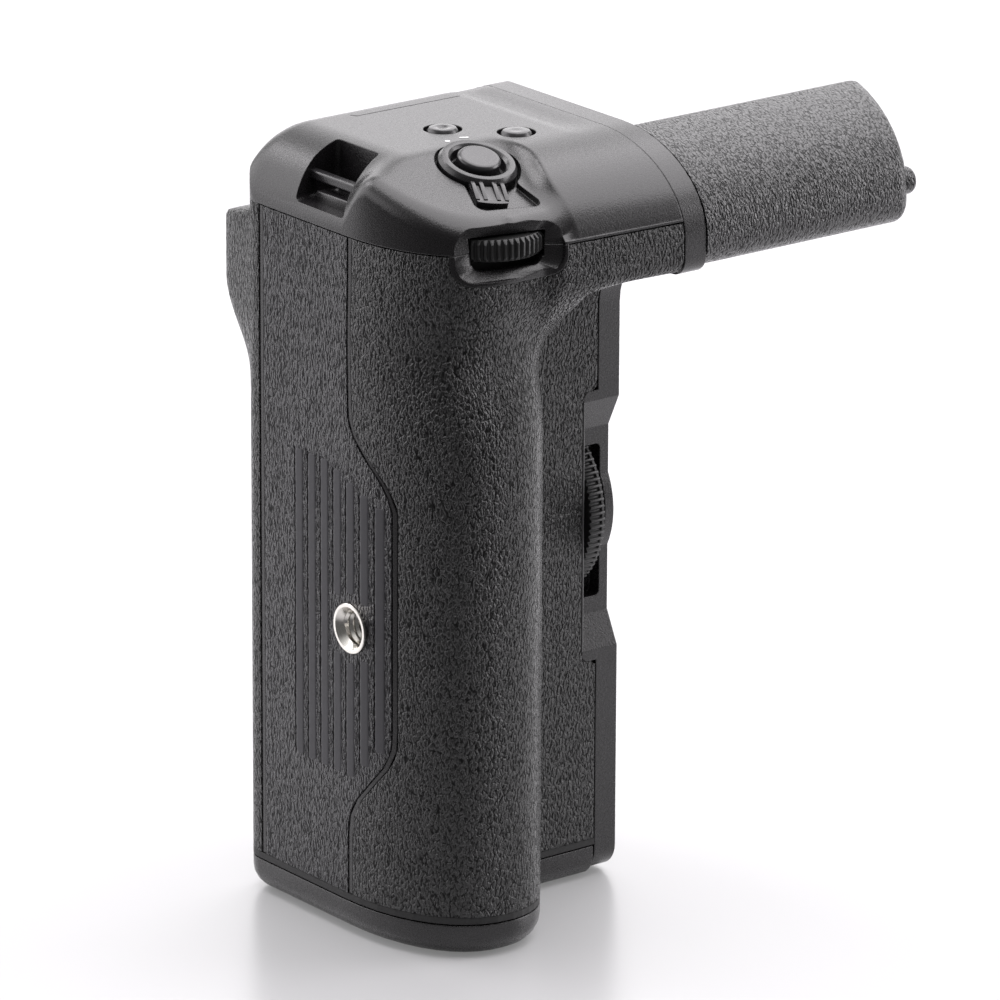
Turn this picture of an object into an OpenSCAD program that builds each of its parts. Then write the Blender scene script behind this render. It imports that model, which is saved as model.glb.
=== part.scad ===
// Vertical battery grip for a camera, standing on its battery door.
// +X points to the camera, -Y to the fingers, +Z from the battery door to the control end.
// The body is drawn from the base plane (X = 0) and the base cover's rear seam (Y = 0).

/* [Body] */
// Height from the battery door's foot to the flat of the control end
body_h = 144.5; // [142:0.5:150]
// Depth from the base plane to the camera face
body_t = 58.2; // [57:0.1:62]
// Width of the plain rim round the camera face
rim_w = 4.9; // [4.6:0.1:5.6]
// Base cover's rear seam to the rear face
rear_d = 7.1; // [6.6:0.1:8.5]
// Base cover's rear seam to the finger wall
wall_d = 30.3; // [29.5:0.1:32]
// Base cover's rear seam to the crest of the nose
nose_d = 51.5; // [50:0.5:54]
// Base cover's rear seam to the front of the arm
arm_d = 54.8; // [54:0.1:56]
// Base plane to the crest of the nose
nose_x = 18; // [17:0.5:20]
// Crest of the nose to its finger side
nose_side_w = 13; // [12:0.5:14]
// Where the base plane starts to curve into the nose
bend_d = 24; // [23:0.5:25]
// Fullness of the nose's curves, 2 is an ellipse
nose_n = 2.2; // [2:0.1:2.6]
// Fullness of the nose's finger side, 2 is an ellipse
finger_n = 2; // [2:0.1:2.4]
// Radius where the nose's finger side meets the wall
neck_r = 7.2; // [5:0.2:8]
// Depth of the finger hollow under the control end
hollow_d = 3.7; // [1:0.1:4.5]
// Height of the hollow's middle below the control end's flat
hollow_drop = 32.5; // [30:0.5:36]
// Radius of the upright edge between base and rear
back_r = 5.5; // [4.5:0.1:6]

/* [Covers] */
// Thickness of the rubber covers
skin_t = 1.6; // [1.2:0.1:2]
// Gap between neighbouring covers
seam_gap = 0.25; // [0.15:0.05:0.4]
// Width of the plain strip between two covers
trim_w = 1; // [0.8:0.1:1.4]
// Height of the covers' lower edge
skin_z = 8; // [7.6:0.1:9]
// Base cover's width where it is narrow
seam_narrow_d = 26.4; // [25.8:0.2:28]
// Base cover's width where it is wide
seam_wide_d = 37.4; // [36.5:0.1:39]
// Height where the seam starts to step out
step_low_z = 24; // [20:0.5:27]
// Height where the seam starts to step back in
step_high_z = 85.5; // [82:0.5:88]
// Height of the lower step
step_low_h = 12.5; // [10:0.5:16]
// Height of the upper step
step_high_h = 10.5; // [9:0.5:13]
// Number of smooth ribs round the tripod socket
rib_count = 7; // [5:1:7]
// Spacing of the ribs
rib_pitch = 3.8; // [3.2:0.1:3.9]
// Width of one rib
rib_w = 1.9; // [1.2:0.1:2.4]
// How far the ribs stand out of the base cover
rib_rise = 0.35; // [0.2:0.05:0.5]
// How far the thumb rest stands out of the rear face
thumb_rise = 8.8; // [6:0.2:10]
// Width of the thumb rest
thumb_w = 19; // [15:0.5:21]

/* [Control end] */
// Height of the control end's cover at the base plane's seam
cap_h = 12.7; // [12:0.1:13.3]
// Radius of the edge between the base plane and the control end
end_r = 13.5; // [12.5:0.1:14]
// Radius of the control end's rear edge
cap_rear_r = 5; // [3:0.5:6]
// Height of the arm's front curve
arm_b = 16; // [15.5:0.5:17]
// Radius of the arm's lower front edge
arm_low_r = 3.5; // [3:0.5:5]
// Radius between the finger wall and the arm's underside
armpit_r = 11; // [9:0.5:12]
// Height of the arm's underside below the control end's flat
shelf_drop = 23.1; // [23:0.1:25]
// Tilt of the shutter's panel towards the front
pod_tilt = 18; // [15:1:20]
// Rear seam to the start of the tilted panel
pod_d = 26; // [24:0.5:27]
// Radius of the tilted panel's edge
flank_r = 3.5; // [2.5:0.1:4]
// Shutter button's place from the base plane
shutter_x = 23.6; // [22.8:0.2:25]
// Shutter button's place from the rear seam
shutter_d = 32.8; // [32:0.2:33.4]
// Radius of the shutter button
shutter_r = 3.95; // [3.4:0.05:4.2]
// Outer radius of the lock ring
lock_r = 7.2; // [6.8:0.1:7.6]
// Radius from the shutter's axis to the tip of the lock lever
lever_r = 12.8; // [12:0.1:13.2]
// Swing of the lock lever
lever_swing = 25; // [20:1:28]
// Radius of the two small buttons
button_r = 2.9; // [2.4:0.1:3.1]
// Radius of the front dial
dial_r = 10.2; // [9.6:0.1:10.3]
// Thickness of the front dial
dial_t = 4; // [3.4:0.1:4.2]
// Front dial's place from the base plane
dial_x = 19.6; // [19:0.1:20]
// Ridges on the front dial
dial_teeth = 52; // [40:1:56]
// Width of the dial's moulded recess
bezel_w = 22.4; // [21:0.2:23]
// Width of the strap slot
strap_w = 12.5; // [11:0.1:13]
// Rear seam to the strap slot
strap_d = 9; // [8:0.2:10]
// How deep the strap slot goes in from the base plane
strap_in = 10.6; // [10.4:0.1:11]

/* [Camera fixing] */
// Radius of the fixing wheel
wheel_r = 17.8; // [17:0.1:18]
// Thickness of the fixing wheel
wheel_t = 3.2; // [2.8:0.1:3.4]
// How far the wheel stands out of the finger wall
wheel_proud = 1.4; // [1:0.1:2]
// Height of the fixing wheel's axis
wheel_z = 70.3; // [66:0.1:74]
// Ridges on the fixing wheel
wheel_teeth = 88; // [70:1:100]
// Radius of the camera screw, a quarter inch thread
screw_r = 3.175; // [3.1:0.025:3.25]
// How far the camera screw stands out of the camera face
screw_out = 4.8; // [4:0.1:5.2]
// Depth of the scoop round the wheel
scoop_d = 3; // [2.5:0.1:3.3]
// Height of the scoop's middle
scoop_z = 68.7; // [67:0.1:71]
// Length of the scoop's flat floor
scoop_floor_l = 35.5; // [34:0.5:38]
// Length of each sloping end of the scoop
scoop_end_l = 6.2; // [5:0.1:7]
// Width of the scoop beside the rim
scoop_w = 3.3; // [3:0.1:3.6]
// Outer radius of the tripod socket
socket_r = 4.65; // [4.4:0.05:4.8]
// Radius of the tripod socket's thread core
socket_core_r = 2.6; // [2.5:0.05:2.7]
// Depth of the tripod socket's thread
socket_l = 9; // [7:0.5:11]
// Height of the tripod socket
socket_z = 58.8; // [57:0.1:61]
// Rear seam to the tripod socket
socket_d = 26.4; // [26.2:0.1:26.8]

/* [Stem] */
// Camera face to the front of the stem's end
stem_l = 47.6; // [42:0.2:50]
// Height of the stem's section
stem_h = 22.2; // [21:0.2:23]
// Depth of the stem's section
stem_w = 24; // [22:0.2:24.4]
// Rounding of the stem's end
stem_end_r = 2.6; // [2:0.1:2.8]
// Slant of the stem's end, its rear side reaching further
stem_slant = 15; // [8:1:18]
// Thickness of the stem's rubber sleeve
sleeve_t = 1.5; // [1.2:0.1:2]

/* [Batteries] */
// Height of the battery door
door_h = 6.4; // [6:0.1:6.8]
// Rounding of the door's lower edge
door_r = 4.6; // [3:0.1:4.8]
// Wall between the battery bay and the fixing wheel's bush
bay_side = 0.8; // [0.6:0.1:2]
// Battery size, front to rear
cell_t = 20.4; // [19:0.1:20.6]
// Inner frame left over the battery bay
bay_roof = 9.7; // [9:0.1:14]
// Wall of the tray
tray_wall = 1.2; // [1:0.1:1.3]

/* [Hidden] */
$fn = 48;

// Shared clearances: parts that sit together, parts that slide, shafts in their holes
seat = 0.08;
slide = 0.3;
fit = 0.05;
// Places worked out from the sizes above
rear_y = rear_d;
wall_y = -wall_d;
nose_y = -nose_d;
arm_y = -arm_d;
bend_y = -bend_d;
rim_x = body_t - rim_w;
body_end_x = rim_x - seat;
seam_z = body_h - cap_h;
arm_a = wall_y - arm_y;
neck_y = wall_y - neck_r;
flare_top_z = body_h - arm_b - 3;
shelf_z = body_h - shelf_drop;
flare_low_z = flare_top_z - 21;
hollow_z = body_h - hollow_drop;
hollow_s = 9;
crease_x = nose_x + nose_side_w;
stem_end_x = body_t + stem_l;
stem_reach = stem_end_x + tan(stem_slant) * (stem_w - stem_end_r);
center_x = (stem_reach - rib_rise) / 2;
stem_proud = 0.3;
center_y = (rear_y + thumb_rise + arm_y - stem_proud) / 2;
palm_steps = 10;
finger_steps = 20;

function lerp(a, b, t) = a + (b - a) * t;
function clamp01(t) = min(1, max(0, t));
function smooth(a, b, v) = let(t = clamp01((v - a) / (b - a))) t * t * (3 - 2 * t);
function root(v, n) = pow(max(v, 0), 2 / n);
function round_drop(r, d) = r - sqrt(max(0, r * r - pow(max(0, r - d), 2)));
function arc(center, r, from, to, steps) =
    [for (i = [0:steps]) center + r * [cos(lerp(from, to, i / steps)), sin(lerp(from, to, i / steps))]];

// The body is drawn from its base plane and moved so that the origin is under the middle of its box
module placed() translate([-center_x, -center_y, 0]) children();

// Plain shapes that several parts use
module along_x() rotate([90, 0, 90]) children();
module along_y() rotate([-90, 0, 0]) children();
module rounded(size, r) offset(r) square([size[0] - 2 * r, size[1] - 2 * r], center = true);
module ridged_disc(r, depth, teeth) polygon([for (i = [0:teeth - 1], k = [0:3])
    let(a = (i + [0, 0.28, 0.5, 0.78][k]) * 360 / teeth, q = k < 2 ? r : r - depth) q * [cos(a), sin(a)]]);

// Body outline at one height: palm side, finger side and rear, as points in X and Y
function nose_flare(z) = smooth(flare_low_z, flare_top_z, z);
function arm_flare(z) =
    let(a = clamp01((z - shelf_z + armpit_r) / armpit_r), b = clamp01((shelf_z + arm_low_r - z) / arm_low_r))
    z < shelf_z ? (1 - sqrt(1 - a * a)) * armpit_r / arm_a : 1 - (1 - sqrt(1 - b * b)) * arm_low_r / arm_a;
function flare(k, z) = lerp(nose_flare(z), arm_flare(z), smooth(0.4, 0.85, k));
function crest_y(z) = nose_y + hollow_d * exp(-pow((z - hollow_z) / hollow_s, 2));
function arm_blend(x) =
    (smooth(crease_x - 7, crease_x - 2.5, x) + clamp01((x - crease_x + 5) / (rim_x - crease_x + 5))) / 2;
function arm_front(x, z) = let(up = clamp01((z - body_h + arm_b) / arm_b))
    lerp(nose_y, arm_y + arm_a * (1 - sqrt(1 - up * up)), arm_blend(x));
function arm_top(y, a) = body_h - arm_b + arm_b * sqrt(max(0, 1 - pow(max(0, wall_y - y) / a, 2)));
function palm_angle(y) = asin(pow((bend_y - y) / (bend_y - nose_y), nose_n / 2));
function palm_point(a, z) =
    [nose_x * (1 - root(cos(a), nose_n)), bend_y - (bend_y - crest_y(z)) * root(sin(a), nose_n)];
function finger_low(k, z, end_x) =
    k <= 0.5 ? [nose_x + nose_side_w * root(sin(180 * k), finger_n),
        neck_y - (neck_y - crest_y(z)) * root(cos(180 * k), finger_n)]
    : k <= 0.8 ? let(a = 180 - 300 * (k - 0.5)) [crease_x + neck_r, neck_y] + neck_r * [cos(a), sin(a)]
    : [lerp(crease_x + neck_r, end_x, (k - 0.8) * 5), wall_y];
function finger_high(k, z, end_x) = let(x = lerp(nose_x, end_x, k))
    [x, arm_front(x, z) + (crest_y(z) - nose_y) * smooth(crease_x + 6, crease_x - 3, x)];
function finger_point(k, z, end_x) = lerp(finger_low(k, z, end_x), finger_high(k, z, end_x), flare(k, z));
function palm_path(from, z) = [for (i = [0:palm_steps]) palm_point(lerp(from, 90, i / palm_steps), z)];
function finger_path(z, end_x) = [for (i = [1:finger_steps]) finger_point(i / finger_steps, z, end_x)];
function back_path() = concat([for (i = [0:6]) [lerp(body_end_x, back_r, i / 6), rear_y]],
    [for (p = arc([back_r, rear_y - back_r], back_r, 90, 180, 6)) if (p[1] < rear_y) p]);
function body_path(z) = concat(back_path(), palm_path(0, z), finger_path(z, body_end_x));

// Moves each point of an open path inwards, square to the path
function inset_path(path, d) = let(last = len(path) - 1) [for (i = [0:last])
    let(t = path[min(last, i + 1)] - path[max(0, i - 1)]) path[i] + d * [-t[1], t[0]] / norm(t)];
function at_height(path, z) = [for (p = path) [p[0], p[1], z]];

// Closed shell between an outer and an inner grid of points, rows from bottom to top
module shell(outer, inner) {
    rows = len(outer);
    cols = len(outer[0]);
    inside = rows * cols;
    function id(i, j) = i * cols + j;
    walls = [for (i = [0:rows - 2], j = [0:cols - 2])
        let(a = id(i, j), b = id(i, j + 1), c = id(i + 1, j + 1), d = id(i + 1, j), m = inside)
        each [[a, d, c], [a, c, b], [a + m, c + m, d + m], [a + m, b + m, c + m]]];
    ends = [for (j = [0:cols - 2])
        let(a = id(0, j), b = id(0, j + 1), d = id(rows - 1, j), c = id(rows - 1, j + 1), m = inside)
        each [[a, b, b + m], [a, b + m, a + m], [c, d, d + m], [c, d + m, c + m]]];
    sides = [for (i = [0:rows - 2])
        let(a = id(i, 0), d = id(i + 1, 0), b = id(i, cols - 1), c = id(i + 1, cols - 1), m = inside)
        each [[d, a, a + m], [d, a + m, d + m], [b, c, c + m], [b, c + m, b + m]]];
    polyhedron(concat([for (row = outer) each row], [for (row = inner) each row]),
        concat(walls, ends, sides));
}

// Closed solid through a stack of rings, each end closed from a middle point
module stack(rings, low, high) {
    rows = len(rings);
    cols = len(rings[0]);
    walls = [for (i = [0:rows - 2], j = [0:cols - 1])
        let(a = i * cols + j, b = i * cols + (j + 1) % cols, c = b + cols, d = a + cols)
        each [[a, d, c], [a, c, b]]];
    top = (rows - 1) * cols;
    ends = [for (j = [0:cols - 1]) let(k = (j + 1) % cols)
        each [[rows * cols, j, k], [rows * cols + 1, top + k, top + j]]];
    polyhedron(concat([for (row = rings) each row], [low, high]), concat(walls, ends));
}

// Base cover's front seam, stepping out round the tripod socket
function eased(z, from, span) = let(r = 2.5)
    (clamp01((z - r - from) / span) + clamp01((z - from) / span) + clamp01((z + r - from) / span)) / 3;
function seam_y(z) = -lerp(seam_narrow_d, seam_wide_d,
    eased(z, step_low_z, step_low_h) - eased(z, step_high_z, step_high_h));
function seam_angle(z, offset) = palm_angle(seam_y(z) + offset);
trim_half = trim_w / 2;
cover_half = trim_half + seam_gap;
skin_in = skin_t - seat;

// Front cover's edge beside the rim, stepping in round the scoop
scoop_skin = 2;
scoop_half = scoop_floor_l / 2 + scoop_end_l;
jog_half = scoop_half + scoop_skin + seam_gap;
jog_h = 0.6;
function front_edge_x(z) = rim_x - seam_gap - scoop_w * smooth(jog_half + jog_h, jog_half, abs(z - scoop_z));

// Heights of the covers' rows: close where the arm flares, and one at each step of an edge
function rows_between(low, high, count) = [for (i = [0:count - 1]) lerp(low, high, i / (count - 1))];
flare_rows = concat(rows_between(flare_low_z - 2, shelf_z - 1.2, 10),
    [for (a = [0:30:90]) shelf_z + arm_low_r * (1 - cos(a))],
    rows_between(shelf_z + arm_low_r + 2, seam_z - seam_gap, 4));
skin_rows = concat(rows_between(skin_z, scoop_z - jog_half - jog_h, 10),
    rows_between(scoop_z - jog_half, scoop_z + jog_half, 14),
    rows_between(scoop_z + jog_half + jog_h, flare_low_z - 4, 3), flare_rows);
function front_path(z) = concat(palm_path(seam_angle(z, -cover_half), z), finger_path(z, front_edge_x(z)));

// Rear cover: it rounds the upright edge, swells into the thumb rest and leaves room for the rear panel
panel_x = thumb_w + 5;
panel_low_z = seam_z - 34.5;
panel_step_z = panel_low_z - seam_gap;
rear_rows = concat(rows_between(skin_z, panel_step_z - jog_h, 8),
    rows_between(panel_step_z, seam_z - seam_gap, 18));
function rear_edge_x(z) = z < panel_step_z - jog_h / 2 ? rim_x - seam_gap : panel_x;
thumb_top_z = seam_z - 2.4;
function thumb(x, z) = thumb_rise * smooth(0.2, 3.4, x) * smooth(thumb_w + 2, thumb_w - 6, x)
    * smooth(thumb_top_z - 33, thumb_top_z - 15, z) * smooth(thumb_top_z, thumb_top_z - 3, z);
function rear_path(z) = concat([for (i = [0:9]) [lerp(rear_edge_x(z), back_r, i / 9), rear_y]],
    [for (a = [100:10:180]) [back_r, rear_y - back_r] + back_r * [cos(a), sin(a)]], [[0, cover_half]]);
function swollen(path, z) = [for (p = path) [p[0], p[1] + thumb(p[0], z)]];

// Height of the control end's outer surface over a point of the body
pod_y = -pod_d;
function eased_ramp(v) = v > 2 ? v : v < -2 ? 0 : pow(v + 2, 2) / 8;
function pod_z(y) = body_h - tan(pod_tilt) * eased_ramp(pod_y - y);
function flank_depth(x, y) = x > nose_x ? y - nose_y
    : nose_x * (1 - pow(pow((nose_x - x) / nose_x, nose_n)
        + pow(max(0, bend_y - y) / (bend_y - nose_y), nose_n), 1 / nose_n));
ridge_w = 4.5;
function ridge_x(y) = crease_x - 0.3 + 2.8 * smooth(nose_y + 5.5, wall_y - 2.7, y);
function cap_z(x, y) =
    let(end_z = body_h - round_drop(end_r, x),
        flank_z = pod_z(y) - round_drop(flank_r, flank_depth(x, y)),
        palm_z = lerp(end_z, flank_z, smooth(bend_y + 2, bend_y - 7, y)),
        arm_z = arm_top(y, wall_y - lerp(nose_y, arm_y, arm_blend(x))),
        front_z = lerp(palm_z, arm_z, pow(clamp01((x - ridge_x(y)) / ridge_w + 1), 2)),
        back_drop = round_drop(cap_rear_r, rear_y - y),
        drop = body_h - front_z)
    max(seam_z + 0.4, body_h - norm([drop, back_drop]) - 0.4 * min(drop, back_drop));

// Shutter axis: square to the tilted panel
module on_pod() translate([shutter_x, -shutter_d, pod_z(-shutter_d)]) rotate([pod_tilt, 0, 0]) children();
pocket_d = 2.2;
lock_pocket_r = lock_r + 0.6;
lever_rest = -113;
lever_w = 6.4;
module lever_tab(grow, reach) let(half = lever_w / 2 + grow)
    polygon([[lock_r - 1.5, -half], [reach, 0.3 - half], [reach, half - 0.3], [lock_r - 1.5, half]]);

// Fixing wheel, its screw and the scoop that it sits in
wheel_x = rim_x - 2.4;
wheel_y = wall_y - wheel_proud + wheel_r;
wheel_gap = 0.5;
bush_r = 4;
bush_l = 3;
bush_x = wheel_x - wheel_gap - bush_l;
module at_wheel(x) translate([x, wheel_y, wheel_z]) along_x() children();
module wheel_room() at_wheel(wheel_x - wheel_gap)
    cylinder(r = wheel_r + wheel_gap, h = wheel_t + 2 * wheel_gap);
scoop_floor_y = wall_y + scoop_d;
module scoop_profile(grow) polygon([
    [wall_y - 1, scoop_z - scoop_half - grow], [wall_y, scoop_z - scoop_half - grow],
    [scoop_floor_y + grow, scoop_z - scoop_floor_l / 2 - grow],
    [scoop_floor_y + grow, scoop_z + scoop_floor_l / 2 + grow],
    [wall_y, scoop_z + scoop_half + grow], [wall_y - 1, scoop_z + scoop_half + grow]]);

// Front dial and its recess
dial_y = nose_y + dial_r + 0.1;
dial_z = seam_z + 0.2;
dial_gap = 0.4;
bezel_h = 10.2;
bezel_z = seam_z - 0.6;
bezel_in = 3;
bezel_turn = 12.6;
bezel_mid = [dial_x, dial_y] - (dial_r - 2.2) * [sin(bezel_turn), cos(bezel_turn)];
bezel_border = 2.6;
dial_shaft_r = 1.5;
dial_shaft_up = 2.8;
dial_shaft_down = 5.8;
module dial_room() translate([dial_x, dial_y, dial_z - dial_t / 2 - dial_gap])
    cylinder(r = dial_r + dial_gap, h = dial_t + 2 * dial_gap);
module at_bezel() translate([bezel_mid[0], bezel_mid[1], bezel_z]) rotate([90, 0, -bezel_turn]) children();
module bezel_recess(grow) at_bezel() translate([0, 0, -bezel_in - grow])
    linear_extrude(bezel_in + 8) rounded([bezel_w + 2 * grow, bezel_h + 2 * grow], 4);
module bezel_funnel() at_bezel() hull() {
    translate([0, 0, 0.8 - bezel_in]) linear_extrude(0.1)
        rounded([bezel_w - 2.3 * bezel_border, bezel_h - 1.75 * bezel_border], 2);
    translate([0, 0, bezel_border]) linear_extrude(8) rounded([bezel_w - 1.4, bezel_h - 1.4], 3.4);
}

// Battery bay and the tray that fills it
tray_x = 4.5;
tray_w = bush_x - bay_side - slide - tray_x;
cell_w = tray_w - 2 * tray_wall - 2 * slide;
tray_t = cell_t + 2 * tray_wall + 2 * slide;
bay_wall = 1.2;
bay_rear_y = rear_y - skin_t - bay_wall - 0.9;
tray_y = bay_rear_y - slide - tray_t;
bay_low_z = door_h + slide;
cell_gap = 1.2;
tray_floor = 1.5;
bay_top_z = seam_z - bay_roof;
tray_top_z = bay_top_z - 1.6;
cell_l = (tray_top_z - tray_wall - door_h - tray_floor) / 2 - cell_gap;
module bay() translate([tray_x - slide, tray_y - slide, bay_low_z - 1])
    cube([tray_w + 2 * slide, tray_t + 2 * slide, bay_top_z - bay_low_z + 1]);

// Rear controls, laid out on the rear panel
panel_w = rim_x - 2 * seam_gap - panel_x;
panel_h = seam_z - seam_gap - panel_low_z - seam_gap;
panel_mid = [panel_x + seam_gap + panel_w / 2, panel_low_z + seam_gap + panel_h / 2];
rear_dial_r = 6.5;
rear_dial_t = 3.6;
rear_dial_z = seam_z - 5;
rear_dial_y = rear_y + 1.6 - rear_dial_r;
selector_at = [panel_mid[0] - 3.5, panel_low_z + 12];
rear_button_x = panel_mid[0] + 8;
rear_button_z = [panel_low_z + 17, panel_low_z + 7.5];
rear_button_r = [2.9, 2.5];
rear_pocket_d = 2.8;
module rear_dial_room() translate([panel_mid[0], rear_dial_y, rear_dial_z - rear_dial_t / 2 - dial_gap])
    cylinder(r = rear_dial_r + dial_gap, h = rear_dial_t + 2 * dial_gap);
module on_rear(x, z, depth) translate([x, rear_y - depth, z]) along_y() children();
module rear_pockets() {
    on_rear(selector_at[0], selector_at[1], rear_pocket_d) cylinder(r = 3.4, h = 8);
    for (i = [0, 1]) on_rear(rear_button_x, rear_button_z[i], rear_pocket_d)
        cylinder(r = rear_button_r[i] + fit, h = 8);
}

// Inner frame that every cover is fixed to
chassis_rows = concat([skin_z - 0.5, flare_low_z - 4], flare_rows, [seam_z - seat]);
function core_ring(z) = concat(at_height(inset_path(body_path(z), skin_t), z),
    [for (t = [0.3, 0.7]) [body_end_x, lerp(wall_y, rear_y, t), z]]);
module chassis_core() {
    translate([0, 0, bay_low_z]) linear_extrude(skin_z - seat - bay_low_z)
        polygon(body_path(skin_z));
    stack([for (z = chassis_rows) core_ring(z)],
        [nose_x, bend_y, skin_z - 0.5], [nose_x, bend_y, seam_z - seat]);
}
module chassis() color("#2c2c2e") placed() difference() {
    chassis_core();
    bay();
    wheel_room();
    at_wheel(rim_x - 20) cylinder(r = bush_r + fit, h = 20);
    translate([rim_x - scoop_w - seam_gap, 0, 0]) along_x()
        linear_extrude(scoop_w + 1) scoop_profile(scoop_skin + seat);
    translate([-1, -socket_d, socket_z]) along_x() cylinder(r = socket_r + fit, h = socket_l + 1);
    dial_room();
    bezel_recess(seat);
    translate([dial_x, dial_y, dial_z - dial_shaft_down - 0.2])
        cylinder(r = dial_shaft_r + fit, h = dial_shaft_down + 2.2);
    rear_dial_room();
    translate([panel_mid[0], rear_dial_y, rear_dial_z - 5]) cylinder(r = 1.2 + fit, h = 10);
    rear_pockets();
}

// Rubber covers
module front_cover() color("#3a3a3c") placed() difference() {
    shell([for (z = skin_rows) at_height(front_path(z), z)],
        [for (z = skin_rows) at_height(inset_path(front_path(z), skin_in), z)]);
    bezel_recess(seat);
    dial_room();
}
function base_path(z) = concat([[0, -cover_half], [0, bend_y / 2]],
    [for (i = [0:8]) palm_point(seam_angle(z, cover_half) * i / 8, z)]);
rib_mid_y = -socket_d + rib_pitch;
rib_low_z = step_low_z + 6.5;
function base_x(y) = y > bend_y ? 0 : palm_point(palm_angle(y), 0)[0];
function rib_ends(y) = [rib_low_z + max(0, -y - 27) * 0.9, step_high_z + 3.5 - max(0, -y - 20) * 0.4];
module rib(y) translate([base_x(y) - rib_rise, 0, 0]) along_x() linear_extrude(rib_rise + 0.6) {
    translate([y - rib_w / 2, rib_ends(y)[0]]) square([rib_w, rib_ends(y)[1] - rib_ends(y)[0]]);
    for (z = rib_ends(y)) translate([y, z]) circle(d = rib_w, $fn = 24);
}
module base_cover() color("#434246") placed() difference() {
    union() {
        shell([for (z = skin_rows) at_height(base_path(z), z)],
            [for (z = skin_rows) at_height(inset_path(base_path(z), skin_in), z)]);
        for (i = [0:rib_count - 1]) rib(rib_mid_y + (i - (rib_count - 1) / 2) * -rib_pitch);
    }
    translate([-2, -socket_d, socket_z]) along_x() cylinder(r = socket_r + seat, h = 4);
}
module rear_cover() color("#3a3a3c") placed()
    shell([for (z = rear_rows) at_height(swollen(rear_path(z), z), z)],
        [for (z = rear_rows) at_height(inset_path(rear_path(z), skin_in), z)]);

// Plain strips between the covers
function front_trim_path(z) = [for (d = [trim_half, 0, -trim_half]) palm_point(seam_angle(z, d), z)];
function rear_trim_path(z) = [for (d = [trim_half, 0, -trim_half]) [0, d]];
module trim_strip(rows) shell([for (r = rows) at_height(inset_path(r[0], 0.15), r[1])],
    [for (r = rows) at_height(inset_path(r[0], skin_in), r[1])]);
module cover_trim() color("#2f2f31") placed() {
    trim_strip([for (z = skin_rows) [front_trim_path(z), z]]);
    trim_strip([for (z = [skin_z, seam_z - seam_gap]) [rear_trim_path(z), z]]);
}

// Control end: a moulded cap with the tilted shutter panel, the arm's front curve and the strap slot
cap_steps = [0, 0.012, 0.035, 0.075, 0.13, 0.2, 0.3, 0.45, 0.65, 0.85];
cap_mid = [crease_x - 4, -18];
function cap_outline() = concat(body_path(seam_z), [for (i = [1:11])
    [body_end_x, lerp(arm_front(rim_x, seam_z), rear_y, pow(i / 12, 1.6))]]);
function cap_ring(t) = [for (p = cap_outline())
    let(x = lerp(p[0], cap_mid[0], t), y = lerp(p[1], cap_mid[1], t)) [x, y, cap_z(x, y)]];
strap_floor_z = body_h - 9.9;
strap_front_y = -strap_d - strap_w;
strap_skew = 3.4;
strap_outline = [[strap_in, strap_front_y], [strap_in, -strap_d], [strap_in / 2, -strap_d],
    [-1, -strap_d - 1.3], [-1, strap_front_y - strap_skew]];
button_at = [[28.6, -16.1], [37.9, -25.6]];
roof_z = seam_z + 5;
module key_pocket() on_pod() translate([0, 0, -pocket_d]) linear_extrude(8) offset(-1.5) offset(1.5) {
    circle(r = lock_pocket_r);
    offset(2) hull() for (a = [0, lever_swing]) rotate(lever_rest + a) lever_tab(-1.2, lever_r + 0.2);
}
module button_pockets() for (b = button_at) translate([b[0], b[1], roof_z - 1]) {
    cylinder(r = 1.2 + fit, h = 20);
    translate([0, 0, body_h - 2 - roof_z + 1]) cylinder(r = button_r + 0.5, h = 9);
}
module end_cover() color("#333335") placed() difference() {
    stack(concat([at_height(cap_outline(), seam_z)], [for (t = cap_steps) cap_ring(t)]),
        [cap_mid[0], cap_mid[1], seam_z], [cap_mid[0], cap_mid[1], body_h]);
    translate([0, 0, strap_floor_z]) linear_extrude(20) polygon(strap_outline);
    key_pocket();
    on_pod() translate([0, 0, -12]) cylinder(r = 1.55 + fit, h = 20);
    button_pockets();
    translate([strap_in + 3.4, pod_y - 5, seam_z - 1])
        cube([rim_x - strap_in - 7, pod_d + 7, roof_z - seam_z + 1]);
    dial_room();
    bezel_funnel();
    translate([dial_x, dial_y, dial_z - 2]) cylinder(r = dial_shaft_r + fit, h = dial_shaft_up + 2.2);
    rear_dial_room();
    translate([strap_bar_at[0], -strap_d + 2, strap_bar_at[1]]) rotate([90, 0, 0])
        linear_extrude(strap_w + strap_skew + 4) strap_bar_profile(seat);
}
strap_bar_at = [5.2, strap_floor_z + 4.1];
module strap_bar_profile(grow) rounded([1.8 + 2 * grow, 1.7 + 2 * grow], 0.4);
module strap_bar() color("#4a4a4c") placed() translate([strap_bar_at[0], -strap_d + 1.8, strap_bar_at[1]])
    rotate([90, 0, 0]) linear_extrude(strap_w + strap_skew + 3.6) strap_bar_profile(0);

// Lower lip of the dial's recess
module dial_bezel() color("#1d1d1f") placed() difference() {
    intersection() {
        bezel_recess(0);
        translate([0, 0, bezel_z - 10]) linear_extrude(seam_z - seat - bezel_z + 10)
            polygon(concat(inset_path(body_path(seam_z), 0.1), [[crease_x, 0]]));
    }
    bezel_funnel();
    dial_room();
}

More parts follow.
